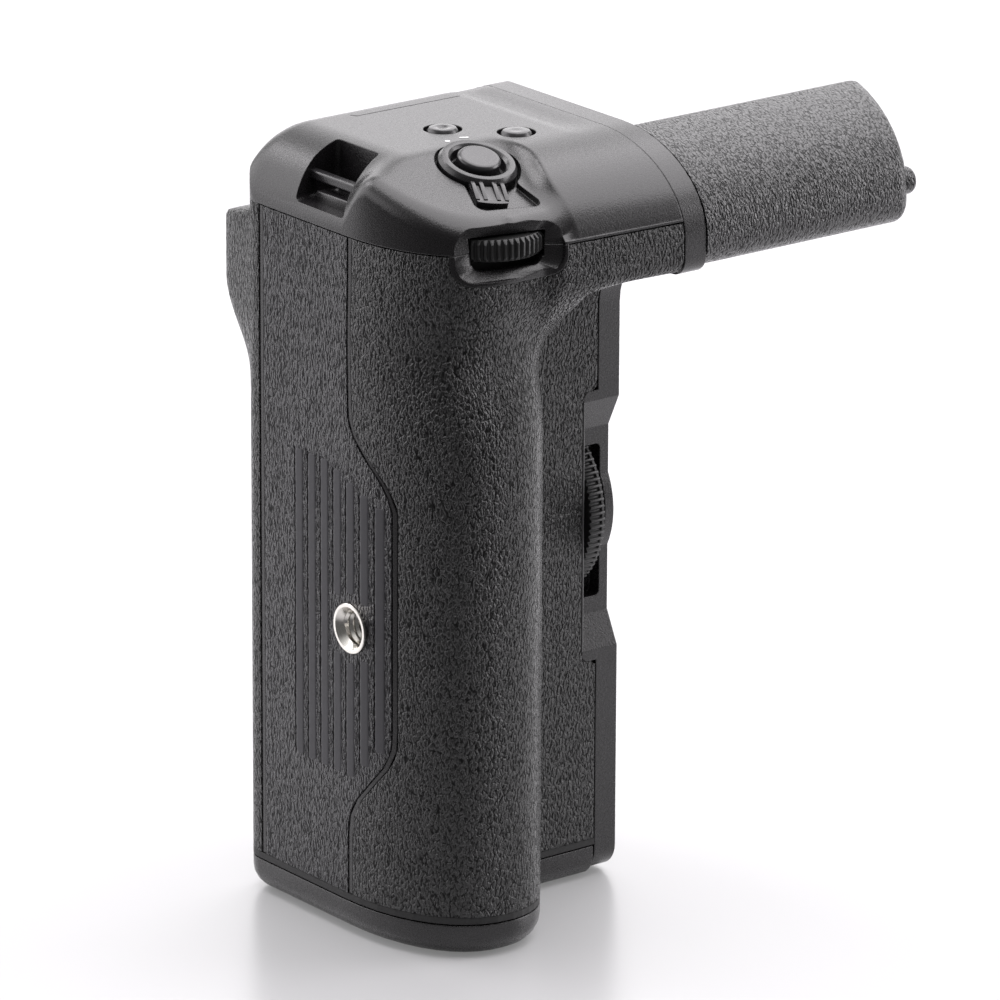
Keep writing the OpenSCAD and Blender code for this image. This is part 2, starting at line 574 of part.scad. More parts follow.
// Plate with the plain rim that meets the camera
plate_low_z = 0.7;
plate_r = 5;
module plate_outline() polygon(concat(
    arc([wall_y + plate_r, plate_low_z + plate_r], plate_r, 180, 270, 8),
    arc([rear_y - plate_r, plate_low_z + plate_r], plate_r, 270, 360, 8),
    arc([rear_y - cap_rear_r, body_h - cap_rear_r], cap_rear_r, 0, 90, 8),
    [for (a = [90:6:180]) [wall_y + arm_a * cos(a), body_h - arm_b + arm_b * sin(a)]],
    arc([arm_y + arm_low_r, shelf_z + arm_low_r], arm_low_r, 180, 270, 8),
    arc([wall_y - armpit_r, shelf_z - armpit_r], armpit_r, 90, 0, 8)));
pin_at = [[wheel_y, wheel_z + 27], [wheel_y, wheel_z - 27]];
plate_screw_at = [[rear_y - 4.5, 12], [wall_y + 5, 14], [rear_y - 4.5, 100], [wall_y + 5, 102],
    [rear_y - 5, body_h - 8], [wall_y + 5, body_h - 8]];
plate_screw_r = 1.9;
hug_r = wheel_r - 2.7;
module mount_plate() color("#2b2b2d") placed() difference() {
    union() {
        translate([rim_x, 0, 0]) along_x() linear_extrude(rim_w) plate_outline();
        translate([rim_x - scoop_w, 0, 0]) along_x() linear_extrude(scoop_w + 0.1) intersection() {
            scoop_profile(scoop_skin);
            translate([wall_y, scoop_z - 50]) square([20, 100]);
        }
    }
    translate([rim_x - scoop_w - 1, 0, 0]) along_x() linear_extrude(rim_w + scoop_w + 2) difference() {
        scoop_profile(0);
        translate([wheel_y, wheel_z]) circle(r = hug_r);
    }
    wheel_room();
    at_wheel(rim_x - 1) cylinder(r = screw_r + fit, h = rim_w + 2);
    for (p = pin_at) translate([body_t - 3, p[0], p[1]]) along_x() cylinder(r = 1.75 + fit, h = 4);
    for (p = plate_screw_at) translate([body_t - 1.6, p[0], p[1]]) along_x()
        cylinder(r = plate_screw_r + 0.2, h = 4);
    stem_foot(seat);
}
module locating_pins() color("silver") placed() for (p = pin_at)
    translate([body_t - 3 + fit, p[0], p[1]]) along_x() rotate_extrude()
        polygon([[0, 0], [1.75, 0], [1.75, 4.4], [1.1, 5.2], [0, 5.2]]);
module plate_screws() color("dimgray") placed() for (p = plate_screw_at)
    translate([body_t - 1.6 + fit, p[0], p[1]]) along_x() difference() {
        rotate_extrude() polygon([[0, 0], [plate_screw_r, 0], [plate_screw_r, 0.7], [1.2, 1.25], [0, 1.25]]);
        for (a = [0, 90]) rotate(a) translate([0, 0, 1.2]) cube([0.5, 2.2, 1.2], center = true);
    }

// Fixing wheel with the camera screw
hub_r = 2.5;
shank_r = screw_r - 0.275;
module fixing_wheel() color("#262628") placed() difference() {
    union() {
        at_wheel(wheel_x) linear_extrude(wheel_t) ridged_disc(wheel_r, 0.55, wheel_teeth);
        at_wheel(bush_x) cylinder(r = hub_r, h = bush_l + wheel_gap + 0.1);
    }
    at_wheel(wheel_x + wheel_t - 2) cylinder(r = shank_r + 0.02, h = 3);
}
screw_face = body_t - wheel_x - wheel_t + 2;
module camera_screw() color("silver") placed() at_wheel(wheel_x + wheel_t - 2) rotate_extrude()
    polygon([[0, 0], [shank_r, 0], [shank_r, screw_face], [screw_r, screw_face + 0.3],
        [screw_r, screw_face + screw_out - 0.7], [screw_r - 0.7, screw_face + screw_out],
        [0, screw_face + screw_out]]);
module wheel_bush() color("goldenrod") placed() at_wheel(bush_x) difference() {
    cylinder(r = bush_r, h = bush_l);
    translate([0, 0, -1]) cylinder(r = hub_r + fit, h = bush_l + 2);
}
module tripod_bushing() color("silver") placed() translate([-rib_rise + 0.1, -socket_d, socket_z]) along_x()
    rotate_extrude() polygon([[socket_core_r + 0.9, 0], [socket_r, 0], [socket_r, socket_l + 0.2],
        [0, socket_l + 0.2], [0, socket_l - 1], [socket_core_r, socket_l - 1], [socket_core_r, 1]]);

// Shutter button inside its lock ring, and the two small buttons beside it
module shutter_button() color("#6b6a6e") placed() on_pod() rotate_extrude() polygon([
    [0, -7.2], [1.55, -7.2], [1.55, -0.2], [shutter_r, -0.2], [shutter_r, 1.6], [shutter_r - 0.35, 2],
    [shutter_r - 0.9, 2.1], [0, 1.95]]);
lock_low = -pocket_d + 0.1;
lock_top = 1.3;
module lock_ring() rotate_extrude() polygon([[shutter_r + 0.6, lock_low], [lock_r, lock_low],
    [lock_r, lock_top - 0.9], [lock_r - 0.6, lock_top], [shutter_r + 1.6, lock_top],
    [shutter_r + 1.05, lock_top - 0.5],
    [shutter_r + 1.05, -1.2], [shutter_r + 0.6, -1.2]]);
module lock_lever() color("#59595c") placed() on_pod() difference() {
    union() {
        lock_ring();
        translate([0, 0, lock_low]) linear_extrude(0.2 - lock_low) intersection() {
            rotate(lever_rest) offset(0.9) offset(-0.9) lever_tab(0, lever_r);
            circle(r = lever_r);
        }
        for (side = [-2.7, -1.2, 1.2, 2.7]) rotate(lever_rest) translate([lock_r - 0.4, side - 0.35, 0])
            cube([lever_r - lock_r - 0.6, 0.7, lock_top - 0.4]);
    }
    translate([0, 0, -12]) cylinder(r = shutter_r + 0.3, h = 20);
}
module small_button(at) color("#4d4c50") placed() translate([at[0], at[1], body_h]) rotate_extrude() polygon([
    [0, roof_z - body_h - 1.2], [1.2, roof_z - body_h - 1.2], [1.2, -1.2], [button_r, -1.2], [button_r, -0.1],
    [button_r - 0.5, 0.3], [0, 0.5]]);
module function_button_left() small_button(button_at[0]);
module function_button_right() small_button(button_at[1]);
board_t = 1.6;
module control_board() color("darkgreen") placed() {
    difference() {
        translate([strap_in + 4.4, pod_y - 3.6, seam_z + 0.02])
            cube([rim_x - strap_in - 9, pod_d + 4.6, board_t]);
        dial_room();
        rear_dial_room();
    }
    for (b = button_at) translate([b[0], b[1], seam_z + board_t])
        cylinder(r = 1.7, h = roof_z - seam_z - board_t - 2);
}
module front_dial() color("#202022") placed() translate([dial_x, dial_y, dial_z - dial_t / 2]) difference() {
    linear_extrude(dial_t) ridged_disc(dial_r, 0.7, dial_teeth);
    translate([0, 0, -1]) cylinder(r = dial_shaft_r + fit, h = dial_t + 2);
}
module dial_shaft() color("silver") placed() translate([dial_x, dial_y, dial_z - dial_shaft_down])
    cylinder(r = dial_shaft_r, h = dial_shaft_down + dial_shaft_up);

// Stem that fills the camera's battery chamber
stem_front_y = arm_y - stem_proud;
stem_rear_y = stem_front_y + stem_w;
stem_edge_r = 3.2;
stem_edge_y = stem_rear_y - stem_edge_r;
stem_top_z = arm_top(stem_edge_y, arm_a);
stem_low_z = stem_top_z - stem_h;
stem_low_r = 4.5;
stem_mid = [stem_rear_y - stem_w / 2, stem_top_z - stem_h / 2];
crown = [arm_a + stem_proud, arm_b];
crown_a = acos((stem_edge_y - wall_y) / crown[0]);
function crown_point(a, d) = [wall_y + (crown[0] - d) * cos(a), body_h - arm_b + (crown[1] - d) * sin(a)];
function stem_ring(d) = let(r = stem_edge_r - d, q = stem_low_r - d)
    concat(arc([stem_edge_y, stem_top_z - stem_edge_r], r, 0, 90, 4),
        [for (i = [1:8]) crown_point(lerp(crown_a, 180, i / 8), d)],
        arc([stem_front_y + stem_low_r, stem_low_z + stem_low_r], q, 180, 270, 6),
        arc([stem_edge_y, stem_low_z + stem_edge_r], r, 270, 360, 4));
function stem_end(y) = stem_end_x + tan(stem_slant) * (y - stem_front_y);
function stem_cap(d, back) = [for (p = stem_ring(d)) [stem_end(p[0]) - back, p[0], p[1]]];
terminal_y = stem_mid[0] + 2;
terminal_z = stem_mid[1] - 3;
terminal_w = 13;
terminal_h = 5;
terminal_x = stem_end_x - sleeve_t + fit;
terminal_face_x = stem_end(terminal_y - terminal_w / 2) - 0.4;
nub_r = 2.6;
nub_at = [stem_front_y + 4, stem_top_z - 14.8];
nub_h = 1.9;
foot_d = 2.5;
module stem_foot(grow) translate([body_t - foot_d - grow, stem_mid[0] + 2, stem_mid[1]]) along_x()
    linear_extrude(foot_d + 1) rounded([stem_w - 14 + 2 * grow, stem_h - 12 + 2 * grow], 1.5);
module stem_core() color("#2a2a2c") placed() {
    translate([body_t + seat, 0, 0]) along_x()
        linear_extrude(stem_l - sleeve_t - 2 * seat) polygon(stem_ring(sleeve_t + seat));
    stem_foot(0);
}
module stem_sleeve() color("#3a3a3c") placed() difference() {
    union() {
        stack(concat([[for (p = stem_ring(0)) [body_t + seat, p[0], p[1]]]],
            [for (a = [0:18:90]) stem_cap(stem_end_r * (1 - cos(a)), stem_end_r * (1 - sin(a)))]),
            [body_t + seat, stem_mid[0], stem_mid[1]], [stem_end(stem_mid[0]), stem_mid[0], stem_mid[1]]);
        translate([stem_end(nub_at[0]) - 1, nub_at[0], nub_at[1]]) along_x() rotate_extrude()
            polygon(concat([[0, 0], [nub_r, 0]], arc([nub_r - 1.2, nub_h - 0.2], 1.2, 0, 90, 5),
                [[0, nub_h + 1]]));
    }
    translate([body_t - 1, 0, 0]) along_x()
        linear_extrude(stem_l - sleeve_t + 1) polygon(stem_ring(sleeve_t));
    translate([stem_end_x - 4, terminal_y, terminal_z]) along_x()
        linear_extrude(14) rounded([terminal_w, terminal_h], 0.6);
}
module stem_terminal() color("#17171a") placed()
    translate([terminal_x, terminal_y, terminal_z]) difference() {
    along_x() linear_extrude(terminal_face_x - terminal_x)
        rounded([terminal_w - 2 * seat, terminal_h - 2 * seat], 0.5);
    for (k = [-2:2]) translate([terminal_face_x - terminal_x - 0.5, k * 2.4 - 0.6, -1.5]) cube([1, 1.2, 3]);
}

// Rear panel and its controls
module rear_panel() color("#303032") placed() difference() {
    translate([panel_mid[0], rear_y - skin_in, panel_mid[1]]) along_y() linear_extrude(skin_in)
        rounded([panel_w, panel_h], 2);
    rear_dial_room();
    rear_pockets();
}
module rear_dial() color("#202022") placed()
    translate([panel_mid[0], rear_dial_y, rear_dial_z - rear_dial_t / 2]) difference() {
        linear_extrude(rear_dial_t) ridged_disc(rear_dial_r, 0.6, 30);
        translate([0, 0, -1]) cylinder(r = 1.2 + fit, h = rear_dial_t + 2);
    }
module rear_dial_shaft() color("silver") placed()
    translate([panel_mid[0], rear_dial_y, rear_dial_z - 4.9]) cylinder(r = 1.2, h = 9.7);
module rear_button(i) color("#4d4c50") placed() on_rear(rear_button_x, rear_button_z[i], rear_pocket_d - 0.8)
    rotate_extrude() let(r = rear_button_r[i]) polygon([[0, 0], [r - fit, 0], [r - fit, rear_pocket_d - 0.6],
        [r - 0.6, rear_pocket_d - 0.2], [0, rear_pocket_d]]);
module rear_button_upper() rear_button(0);
module rear_button_lower() rear_button(1);
module selector_ring() color("#2a2a2c") placed() on_rear(selector_at[0], selector_at[1], 2.2) difference() {
    cylinder(r = 2.7, h = 1);
    translate([0, 0, -1]) cylinder(r = 1.7, h = 3);
}
module selector_stick() color("silver") placed() on_rear(selector_at[0], selector_at[1], 2.4)
    cylinder(r = 1.3, h = 3.6);
module selector_cap() color("#27272a") placed() on_rear(selector_at[0], selector_at[1], -1.2) rotate_extrude()
    polygon([[0, 0], [3.6, 0], [4.2, 0.5], [4.2, 1.4], [3.4, 2.2], [2, 2.5], [0, 2.2]]);

// Battery door, tray, cells and contacts
function door_ring(d, z) = concat(at_height(inset_path(body_path(skin_z), d), z),
    [for (t = [0.15, 0.5, 0.85]) [body_end_x, lerp(wall_y + d, rear_y - d, t), z]]);
latch_x = nose_x + 7;
latch_z = door_h - 2.9;
function door_edge(a) = door_r * (1 - sin(a));
module battery_door() color("#2e2e30") placed() difference() {
    intersection() {
        stack(concat([for (a = [0:18:90]) door_ring(door_edge(a), door_r * (1 - cos(a)))],
            [door_ring(0, door_h)]), [nose_x, bend_y, 0], [nose_x, bend_y, door_h]);
        translate([-10, -100, -1]) cube([rim_x - slide + 10, 200, 20]);
    }
    translate([latch_x + 1, rear_y, latch_z]) cube([9, 4, 3], center = true);
}
function cell_z(i) = door_h + tray_floor + i * (cell_l + cell_gap);
module battery_tray() color("#252528") placed() difference() {
    translate([tray_x, tray_y, door_h + 0.02]) cube([tray_w, tray_t, tray_top_z - door_h]);
    for (i = [0, 1]) translate([tray_x + tray_wall, tray_y + tray_wall, cell_z(i)])
        cube([tray_w, tray_t - 2 * tray_wall, cell_l + 2 * fit]);
}
module cell(i) color("#1b1b1d") placed() {
    translate([tray_x + tray_wall + slide, tray_y + tray_wall + slide, cell_z(i) + fit])
        difference() {
            cube([cell_w, cell_t, cell_l]);
            for (k = [0:3]) translate([cell_w - 2, 4 + k * 3.4, cell_l - 3]) cube([3, 2, 4]);
        }
}
module battery_inner() cell(1);
module battery_outer() cell(0);
module tray_contacts() color("gold") placed() for (i = [0, 1], k = [0:3])
    translate([tray_x + tray_wall + slide + cell_w - 1.9, tray_y + tray_wall + slide + 4.2 + k * 3.4,
        cell_z(i) + fit + cell_l - 2.9])
        cube([0.4, 1.6, 2.88 + fit]);
module bay_contacts() color("gold") placed() for (k = [0:3])
    translate([tray_x + 12 + k * 4, tray_y + tray_t / 2, bay_top_z - 1.3]) cylinder(r = 0.9, h = 1.25);
module door_latch() color("#1d1d1f") placed() translate([latch_x, rear_y - 0.25, latch_z]) rotate([90, 0, 0])
    linear_extrude(1.7) rounded([5, 2.4], 0.6);

chassis();
front_cover();
base_cover();
rear_cover();
cover_trim();
end_cover();
mount_plate();
dial_bezel();
tripod_bushing();
strap_bar();
control_board();
front_dial();
dial_shaft();
shutter_button();
lock_lever();
function_button_left();
function_button_right();
fixing_wheel();
camera_screw();
wheel_bush();
locating_pins();
plate_screws();
stem_core();
stem_sleeve();
stem_terminal();
rear_panel();
rear_dial();
rear_dial_shaft();
rear_button_upper();
rear_button_lower();
selector_ring();
selector_stick();
selector_cap();
battery_door();
battery_tray();
battery_inner();
battery_outer();
tray_contacts();
bay_contacts();
door_latch();
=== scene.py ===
"""Vertical camera battery grip, dressed: leather-grain rubber covers over satin black mouldings, with ridged
dials, a lever round the shutter, a nickel tripod bushing and the leather-grain stem, on a pale table."""
import math

import bpy
from mathutils import Matrix, Vector


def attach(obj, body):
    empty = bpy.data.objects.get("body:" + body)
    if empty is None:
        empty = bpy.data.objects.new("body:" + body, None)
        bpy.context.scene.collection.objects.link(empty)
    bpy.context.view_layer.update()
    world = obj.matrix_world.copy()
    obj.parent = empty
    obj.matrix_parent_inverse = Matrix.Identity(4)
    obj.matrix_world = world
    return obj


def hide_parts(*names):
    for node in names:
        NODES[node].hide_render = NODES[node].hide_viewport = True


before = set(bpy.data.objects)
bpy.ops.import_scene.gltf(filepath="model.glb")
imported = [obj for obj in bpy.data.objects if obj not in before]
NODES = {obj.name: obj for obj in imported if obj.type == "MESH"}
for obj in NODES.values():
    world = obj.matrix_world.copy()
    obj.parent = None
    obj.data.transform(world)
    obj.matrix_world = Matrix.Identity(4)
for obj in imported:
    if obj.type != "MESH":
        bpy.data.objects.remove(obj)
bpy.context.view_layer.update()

MM = 0.001
# Middle of the grip's box, measured from its base plane and its base cover's rear seam, in millimetres
MIDDLE = Vector((55.592057, -19.6, 0.0))
# From the grip's own millimetres to the frame's metres
TO_FRAME = Matrix.Diagonal((MM, MM, MM, 1)) @ Matrix.Translation(-MIDDLE)
UNMOVED = Matrix.Identity(4)
ALONG_X, TO_FRONT = Matrix.Rotation(math.pi / 2, 4, "Y"), Matrix.Rotation(math.pi / 2, 4, "X")
# Points closer than this, in metres, are one point
WELD = 2e-6

# The grip's own sizes, in millimetres, from its base plane (X), its base cover's rear seam (Y) and its foot (Z)

BODY_H = 144.5
BODY_T = 58.2
# Clearance between pieces that sit together
SEAT = 0.08
# Rim round the camera's face
RIM_W = 4.9
RIM_X = BODY_T - RIM_W
BODY_END_X = RIM_X - SEAT

# Handle: rear face, finger wall, crest of the nose, front of the arm, start of the palm's bend
REAR_Y = 7.1
WALL_Y = -30.3
NOSE_Y = -51.5
ARM_Y = -54.8
BEND_Y = -24.0
BACK_R = 5.5
# Nose: its crest, its far side's width, and how square its two curves are
NOSE_X = 18.0
NOSE_SIDE_W = 13.0
NOSE_N = 2.2
FINGER_N = 2.0
CREASE_X = NOSE_X + NOSE_SIDE_W
# Neck between the nose and the finger wall
NECK_R = 7.2
NECK_Y = WALL_Y - NECK_R
# Hollow for the middle finger: depth, height and spread
HOLLOW_D = 3.7
HOLLOW_Z = BODY_H - 32.5
HOLLOW_S = 9.0
# Points along the rear, its corner, the palm and the finger side
BACK_STEPS, CORNER_STEPS, PALM_STEPS, FINGER_STEPS = 30, 12, 44, 84

# Covers: thickness, seams, the strip between them and their lower edge
SKIN_T = 1.6
SEAM_GAP = 0.25
TRIM_W = 1.0
COVER_HALF = TRIM_W / 2 + SEAM_GAP
SKIN_Z = 8.0
# Base cover's front seam: its two depths, the heights where it steps out and back, and how softly
SEAM_NARROW_D, SEAM_WIDE_D, SEAM_SOFT = 26.4, 37.4, 2.5
SEAM_OUT_Z, SEAM_OUT_H = 24, 12.5
SEAM_BACK_Z, SEAM_BACK_H = 85.5, 10.5
# Base cover's ribs and the grooves along them
RIB_MID_Y, RIB_PITCH = -22.6, 3.8
RIBS = [RIB_MID_Y - RIB_PITCH * i for i in range(-3, 4)]
RIB_LOW_Z, RIB_HIGH_Z = 30.5, 89
RIB_W, RIB_RISE, RIB_SUNK, RIB_END_R = 2.45, 0.07, 0.2, 0.8
GROOVE_W = 0.3
# Tripod socket, and the ring round it that the ribs leave free
SOCKET = Vector((0.0, -26.4, 58.8))
SOCKET_R = 4.65
SOCKET_CLEAR_R = 6.4
SOCKET_PLACE = Matrix.Translation(SOCKET) @ ALONG_X

# Control end: height, end and rear rounds, flank's round
CAP_H = 12.7
SEAM_Z = BODY_H - CAP_H
END_R = 13.5
CAP_REAR_R = 5.0
FLANK_R = 3.5
# Cutters reach this far above the top
ABOVE = BODY_H + 6
# Arm: its oval, its lower edge, the round under it and where the handle flares out into it
ARM_A = WALL_Y - ARM_Y
ARM_B = 16.0
ARM_LOW_R = 3.5
ARMPIT_R = 11.0
SHELF_Z = BODY_H - 23.1
FLARE_TOP_Z = BODY_H - ARM_B - 3
FLARE_LOW_Z = FLARE_TOP_Z - 21
# The top's soft step beside the camera plate
TOP_STEP, STEP_X, STEP_END_X, STEP_BACK_X = 0.22, 44.6, 47.2, 48.2
# Tilted panel with the shutter, and the two small buttons behind it
POD_TILT = math.radians(18)
POD_Y = -26.0
SHUTTER = (23.6, -32.8)
BUTTONS = ((28.6, -16.1), (37.9, -25.6))
LOCK_HOLE_R, KEY_HOLE_R = 7.8, 3.55
# Shutter lock: its lever's place and swing in degrees, and the depth of the bay that it swings in
LEVER_REST, LEVER_SWING, BAY_D = -113, 25, 1.0
# White marks behind the lock ring
DOT, DOT_R = (24.4, -23.0), 0.5
BAR, BAR_TURN = (28.2, -22.9), math.radians(-25)
MARK_H = 0.05
# Strap slot, looked at from above, and its floor
STRAP_SLOT = [(-2, -25.2), (10.6, -21.5), (10.6, -9.0), (5.3, -9.0), (-2, -10.5)]
SLOT_FLOOR_Z = BODY_H - 9.9
# Front dial, its room in the covers, its window and the frame that slopes in to it
DIAL = Vector((19.6, NOSE_Y + 10.3, SEAM_Z + 0.2))
DIAL_R, DIAL_GAP, DIAL_ROOM = 10.2, 0.4, 2.4
WINDOW_W, WINDOW_H, WINDOW_R = 13.9, 6.0, 1.8
BEZEL_W, BEZEL_H, BEZEL_Z = 22.4, 10.2, SEAM_Z - 0.6
BEZEL_TURN = math.radians(12.6)
FRAME_EDGE, FRAME_D = 1.4, 1.9

# Thumb rest and the panel beside it
THUMB_RISE, THUMB_W, THUMB_TOP_Z = 8.8, 19.0, SEAM_Z - 2.4
PANEL_X, PANEL_LOW_Z = THUMB_W + 5, SEAM_Z - 34.5
PANEL_STEP_Z = PANEL_LOW_Z - 0.35
# Camera wheel, its scoop and the front cover's jog round that
WHEEL = Vector((RIM_X - 2.4, WALL_Y - 1.4 + 17.8, 70.3))
SCOOP_HALF, SCOOP_Z, SCOOP_W = 35.5 / 2 + 6.2, 68.7, 3.3
JOG_HALF, JOG_H, JOG_R = SCOOP_HALF + 2.25, 0.6, 2.7
# Camera wheel's window in the plate: its middle, its size and its corners
OPENING_X, OPENING_Z, OPENING_W, OPENING_H, OPENING_R = 53.4, 68.6, 5.6, 29.2, 1


def at(x, y, z):
    """A place on the grip, from millimetres to the frame's metres."""
    return (Vector((x, y, z)) - MIDDLE) * MM


# Curves of the handle


def lerp(a, b, t):
    return a + (b - a) * t


def clamp01(t):
    return min(1.0, max(0.0, t))


def smooth(a, b, v):
    t = clamp01((v - a) / (b - a))
    return t * t * (3 - 2 * t)


def root(v, n):
    return max(v, 0.0) ** (2 / n)


def round_drop(r, d):
    """How far a rounded edge of radius r has fallen at a distance d from it."""
    return r - math.sqrt(max(0.0, r * r - max(0.0, r - d) ** 2))


def crest_y(z):
    """Front of the nose, hollowed for the middle finger."""
    return NOSE_Y + HOLLOW_D * math.exp(-(((z - HOLLOW_Z) / HOLLOW_S) ** 2))


def arm_flare(z):
    """How far the finger wall has swung out into the arm at one height."""
    if z < SHELF_Z:
        a = clamp01((z - SHELF_Z + ARMPIT_R) / ARMPIT_R)
        return (1 - math.sqrt(1 - a * a)) * ARMPIT_R / ARM_A
    b = clamp01((SHELF_Z + ARM_LOW_R - z) / ARM_LOW_R)
    return 1 - (1 - math.sqrt(1 - b * b)) * ARM_LOW_R / ARM_A


def flare(k, z):
    return lerp(smooth(FLARE_LOW_Z, FLARE_TOP_Z, z), arm_flare(z), smooth(0.4, 0.85, k))


def arm_blend(x):
    return (smooth(CREASE_X - 7, CREASE_X - 2.5, x) + clamp01((x - CREASE_X + 5) / (RIM_X - CREASE_X + 5))) / 2


def arm_front(x, z):
    up = clamp01((z - BODY_H + ARM_B) / ARM_B)
    return lerp(NOSE_Y, ARM_Y + ARM_A * (1 - math.sqrt(1 - up * up)), arm_blend(x))


def ridge_x(y):
    """Where the ridge between the shutter's panel and the arm runs."""
    return CREASE_X - 0.3 + 2.8 * smooth(NOSE_Y + 5.5, WALL_Y - 2.7, y)


def palm_angle(y):
    return math.asin(((BEND_Y - y) / (BEND_Y - NOSE_Y)) ** (NOSE_N / 2))


def palm_point(a, z):
    """A point of the palm's curve, from the base (0) to the nose (a quarter turn)."""
    return (NOSE_X * (1 - root(math.cos(a), NOSE_N)),
            BEND_Y - (BEND_Y - crest_y(z)) * root(math.sin(a), NOSE_N))


def finger_point(k, z, end_x):
    """A point from the nose (0) over the neck to the finger wall's edge (1)."""
    if k <= 0.5:
        low = (NOSE_X + NOSE_SIDE_W * root(math.sin(math.pi * k), FINGER_N),
               NECK_Y - (NECK_Y - crest_y(z)) * root(math.cos(math.pi * k), FINGER_N))
    elif k <= 0.8:
        a = math.radians(180 - 300 * (k - 0.5))
        low = (CREASE_X + NECK_R + NECK_R * math.cos(a), NECK_Y + NECK_R * math.sin(a))
    else:
        low = (lerp(CREASE_X + NECK_R, end_x, (k - 0.8) * 5), WALL_Y)
    x = lerp(NOSE_X, end_x, k)
    y = arm_front(x, z) + (crest_y(z) - NOSE_Y) * smooth(CREASE_X + 6, CREASE_X - 3, x)
    w = flare(k, z)
    return lerp(low[0], x, w), lerp(low[1], y, w)


def seam_y(z):
    """Base cover's front seam, which steps out round the tripod socket."""
    def step(low, span):
        return sum(clamp01((z + r - low) / span) for r in (-SEAM_SOFT, 0, SEAM_SOFT)) / 3
    return -lerp(SEAM_NARROW_D, SEAM_WIDE_D, step(SEAM_OUT_Z, SEAM_OUT_H) - step(SEAM_BACK_Z, SEAM_BACK_H))


def body_points(z):
    """The handle's outline at one height, from the rear face round the palm to the finger wall."""
    pts = [(lerp(BODY_END_X, BACK_R, i / BACK_STEPS), REAR_Y) for i in range(BACK_STEPS)]
    pts += [(BACK_R + BACK_R * math.cos(a), REAR_Y - BACK_R + BACK_R * math.sin(a))
            for a in (math.pi / 2 * (1 + i / CORNER_STEPS) for i in range(CORNER_STEPS + 1))]
    pts += [palm_point(math.pi / 2 * i / PALM_STEPS, z) for i in range(PALM_STEPS + 1)]
    return pts + [finger_point(i / FINGER_STEPS, z, BODY_END_X) for i in range(1, FINGER_STEPS + 1)]


def palm_side(x, y):
    """How far a place of the control end lies inside the handle's front."""
    if x > NOSE_X:
        return y - NOSE_Y
    across, along = (NOSE_X - x) / NOSE_X, max(0.0, BEND_Y - y) / (BEND_Y - NOSE_Y)
    return NOSE_X * (1 - (across ** NOSE_N + along ** NOSE_N) ** (1 / NOSE_N))


def cap_height(x, y):
    """Height of the control end's skin over a place on the grip."""
    ramp = POD_Y - y
    ramp = ramp if ramp > 2 else 0.0 if ramp < -2 else (ramp + 2) ** 2 / 8
    end_z = BODY_H - round_drop(END_R, x)
    flank_z = BODY_H - math.tan(POD_TILT) * ramp - round_drop(FLANK_R, palm_side(x, y))
    palm_z = lerp(end_z, flank_z, smooth(BEND_Y + 2, BEND_Y - 7, y))
    reach = WALL_Y - lerp(NOSE_Y, ARM_Y, arm_blend(x))
    arm_z = BODY_H - ARM_B + ARM_B * math.sqrt(max(0.0, 1 - (max(0.0, WALL_Y - y) / reach) ** 2))
    drop = BODY_H - lerp(palm_z, arm_z, clamp01((x - ridge_x(y)) / 4.5 + 1) ** 2)
    back = round_drop(CAP_REAR_R, REAR_Y - y)
    # The top falls softly to a strip beside the camera plate
    low = TOP_STEP * smooth(STEP_X, STEP_END_X, x) * smooth(RIM_X, STEP_BACK_X, x) * smooth(-34, -24, y)
    return max(SEAM_Z + 0.4, BODY_H - math.hypot(drop, back) - 0.4 * min(drop, back) - low)


# Modelling by hand


def only(obj):
    """Leaves one object selected and active, in object mode."""
    if bpy.context.object and bpy.context.object.mode != "OBJECT":
        bpy.ops.object.mode_set(mode="OBJECT")
    bpy.ops.object.select_all(action="DESELECT")
    obj.hide_set(False)
    obj.select_set(True)
    bpy.context.view_layer.objects.active = obj


def new_piece(name):
    obj = bpy.context.object
    obj.name = name
    obj.data.name = name
    return obj


def apply(obj, kind, **settings):
    """Adds a modifier, sets it and applies it."""
    only(obj)
    m = obj.modifiers.new(kind.title(), kind)
    for key, value in settings.items():
        setattr(m, key, value)
    bpy.ops.object.modifier_apply(modifier=m.name)


def edit_all(obj):
    """Opens a piece in edit mode with everything selected."""
    only(obj)
    bpy.ops.object.mode_set(mode="EDIT")
    bpy.ops.mesh.select_all(action="SELECT")


def edit_done():
    bpy.ops.object.mode_set(mode="OBJECT")


def smooth_shade(obj, degrees=35):
    only(obj)
    bpy.ops.object.shade_smooth_by_angle(angle=math.radians(degrees))


def cut(obj, *cutters):
    """Takes the cutters' shapes out of a piece and removes them."""
    for c in cutters:
        apply(obj, "BOOLEAN", operation="DIFFERENCE", solver="EXACT", object=c)
        bpy.data.objects.remove(c)


def shared(obj, other):
    """Keeps what a piece shares with another shape, which is removed."""
    apply(obj, "BOOLEAN", operation="INTERSECT", solver="EXACT", object=other)
    bpy.data.objects.remove(other)


def sheet_of(name, rows):
    """A grid laid over rows of points in millimetres, as an open skin."""
    wide, high = len(rows[0]), len(rows)
    bpy.ops.object.select_all(action="DESELECT")
    bpy.ops.mesh.primitive_grid_add(x_subdivisions=wide - 1, y_subdivisions=high - 1, size=1)
    obj = new_piece(name)
    flat = [c for row in rows for p in row for c in at(*p)]
    obj.data.vertices.foreach_set("co", flat)
    obj.data.update()
    return obj


def closed_sheet(name, rows):
    """A grid whose rows are closed rings, with its ends filled."""
    obj = sheet_of(name, rows)
    edit_all(obj)
    bpy.ops.mesh.remove_doubles(threshold=WELD)
    bpy.ops.mesh.select_all(action="DESELECT")
    bpy.ops.mesh.select_non_manifold()
    bpy.ops.mesh.fill_holes(sides=0)
    edit_done()
    outward(obj)
    return obj


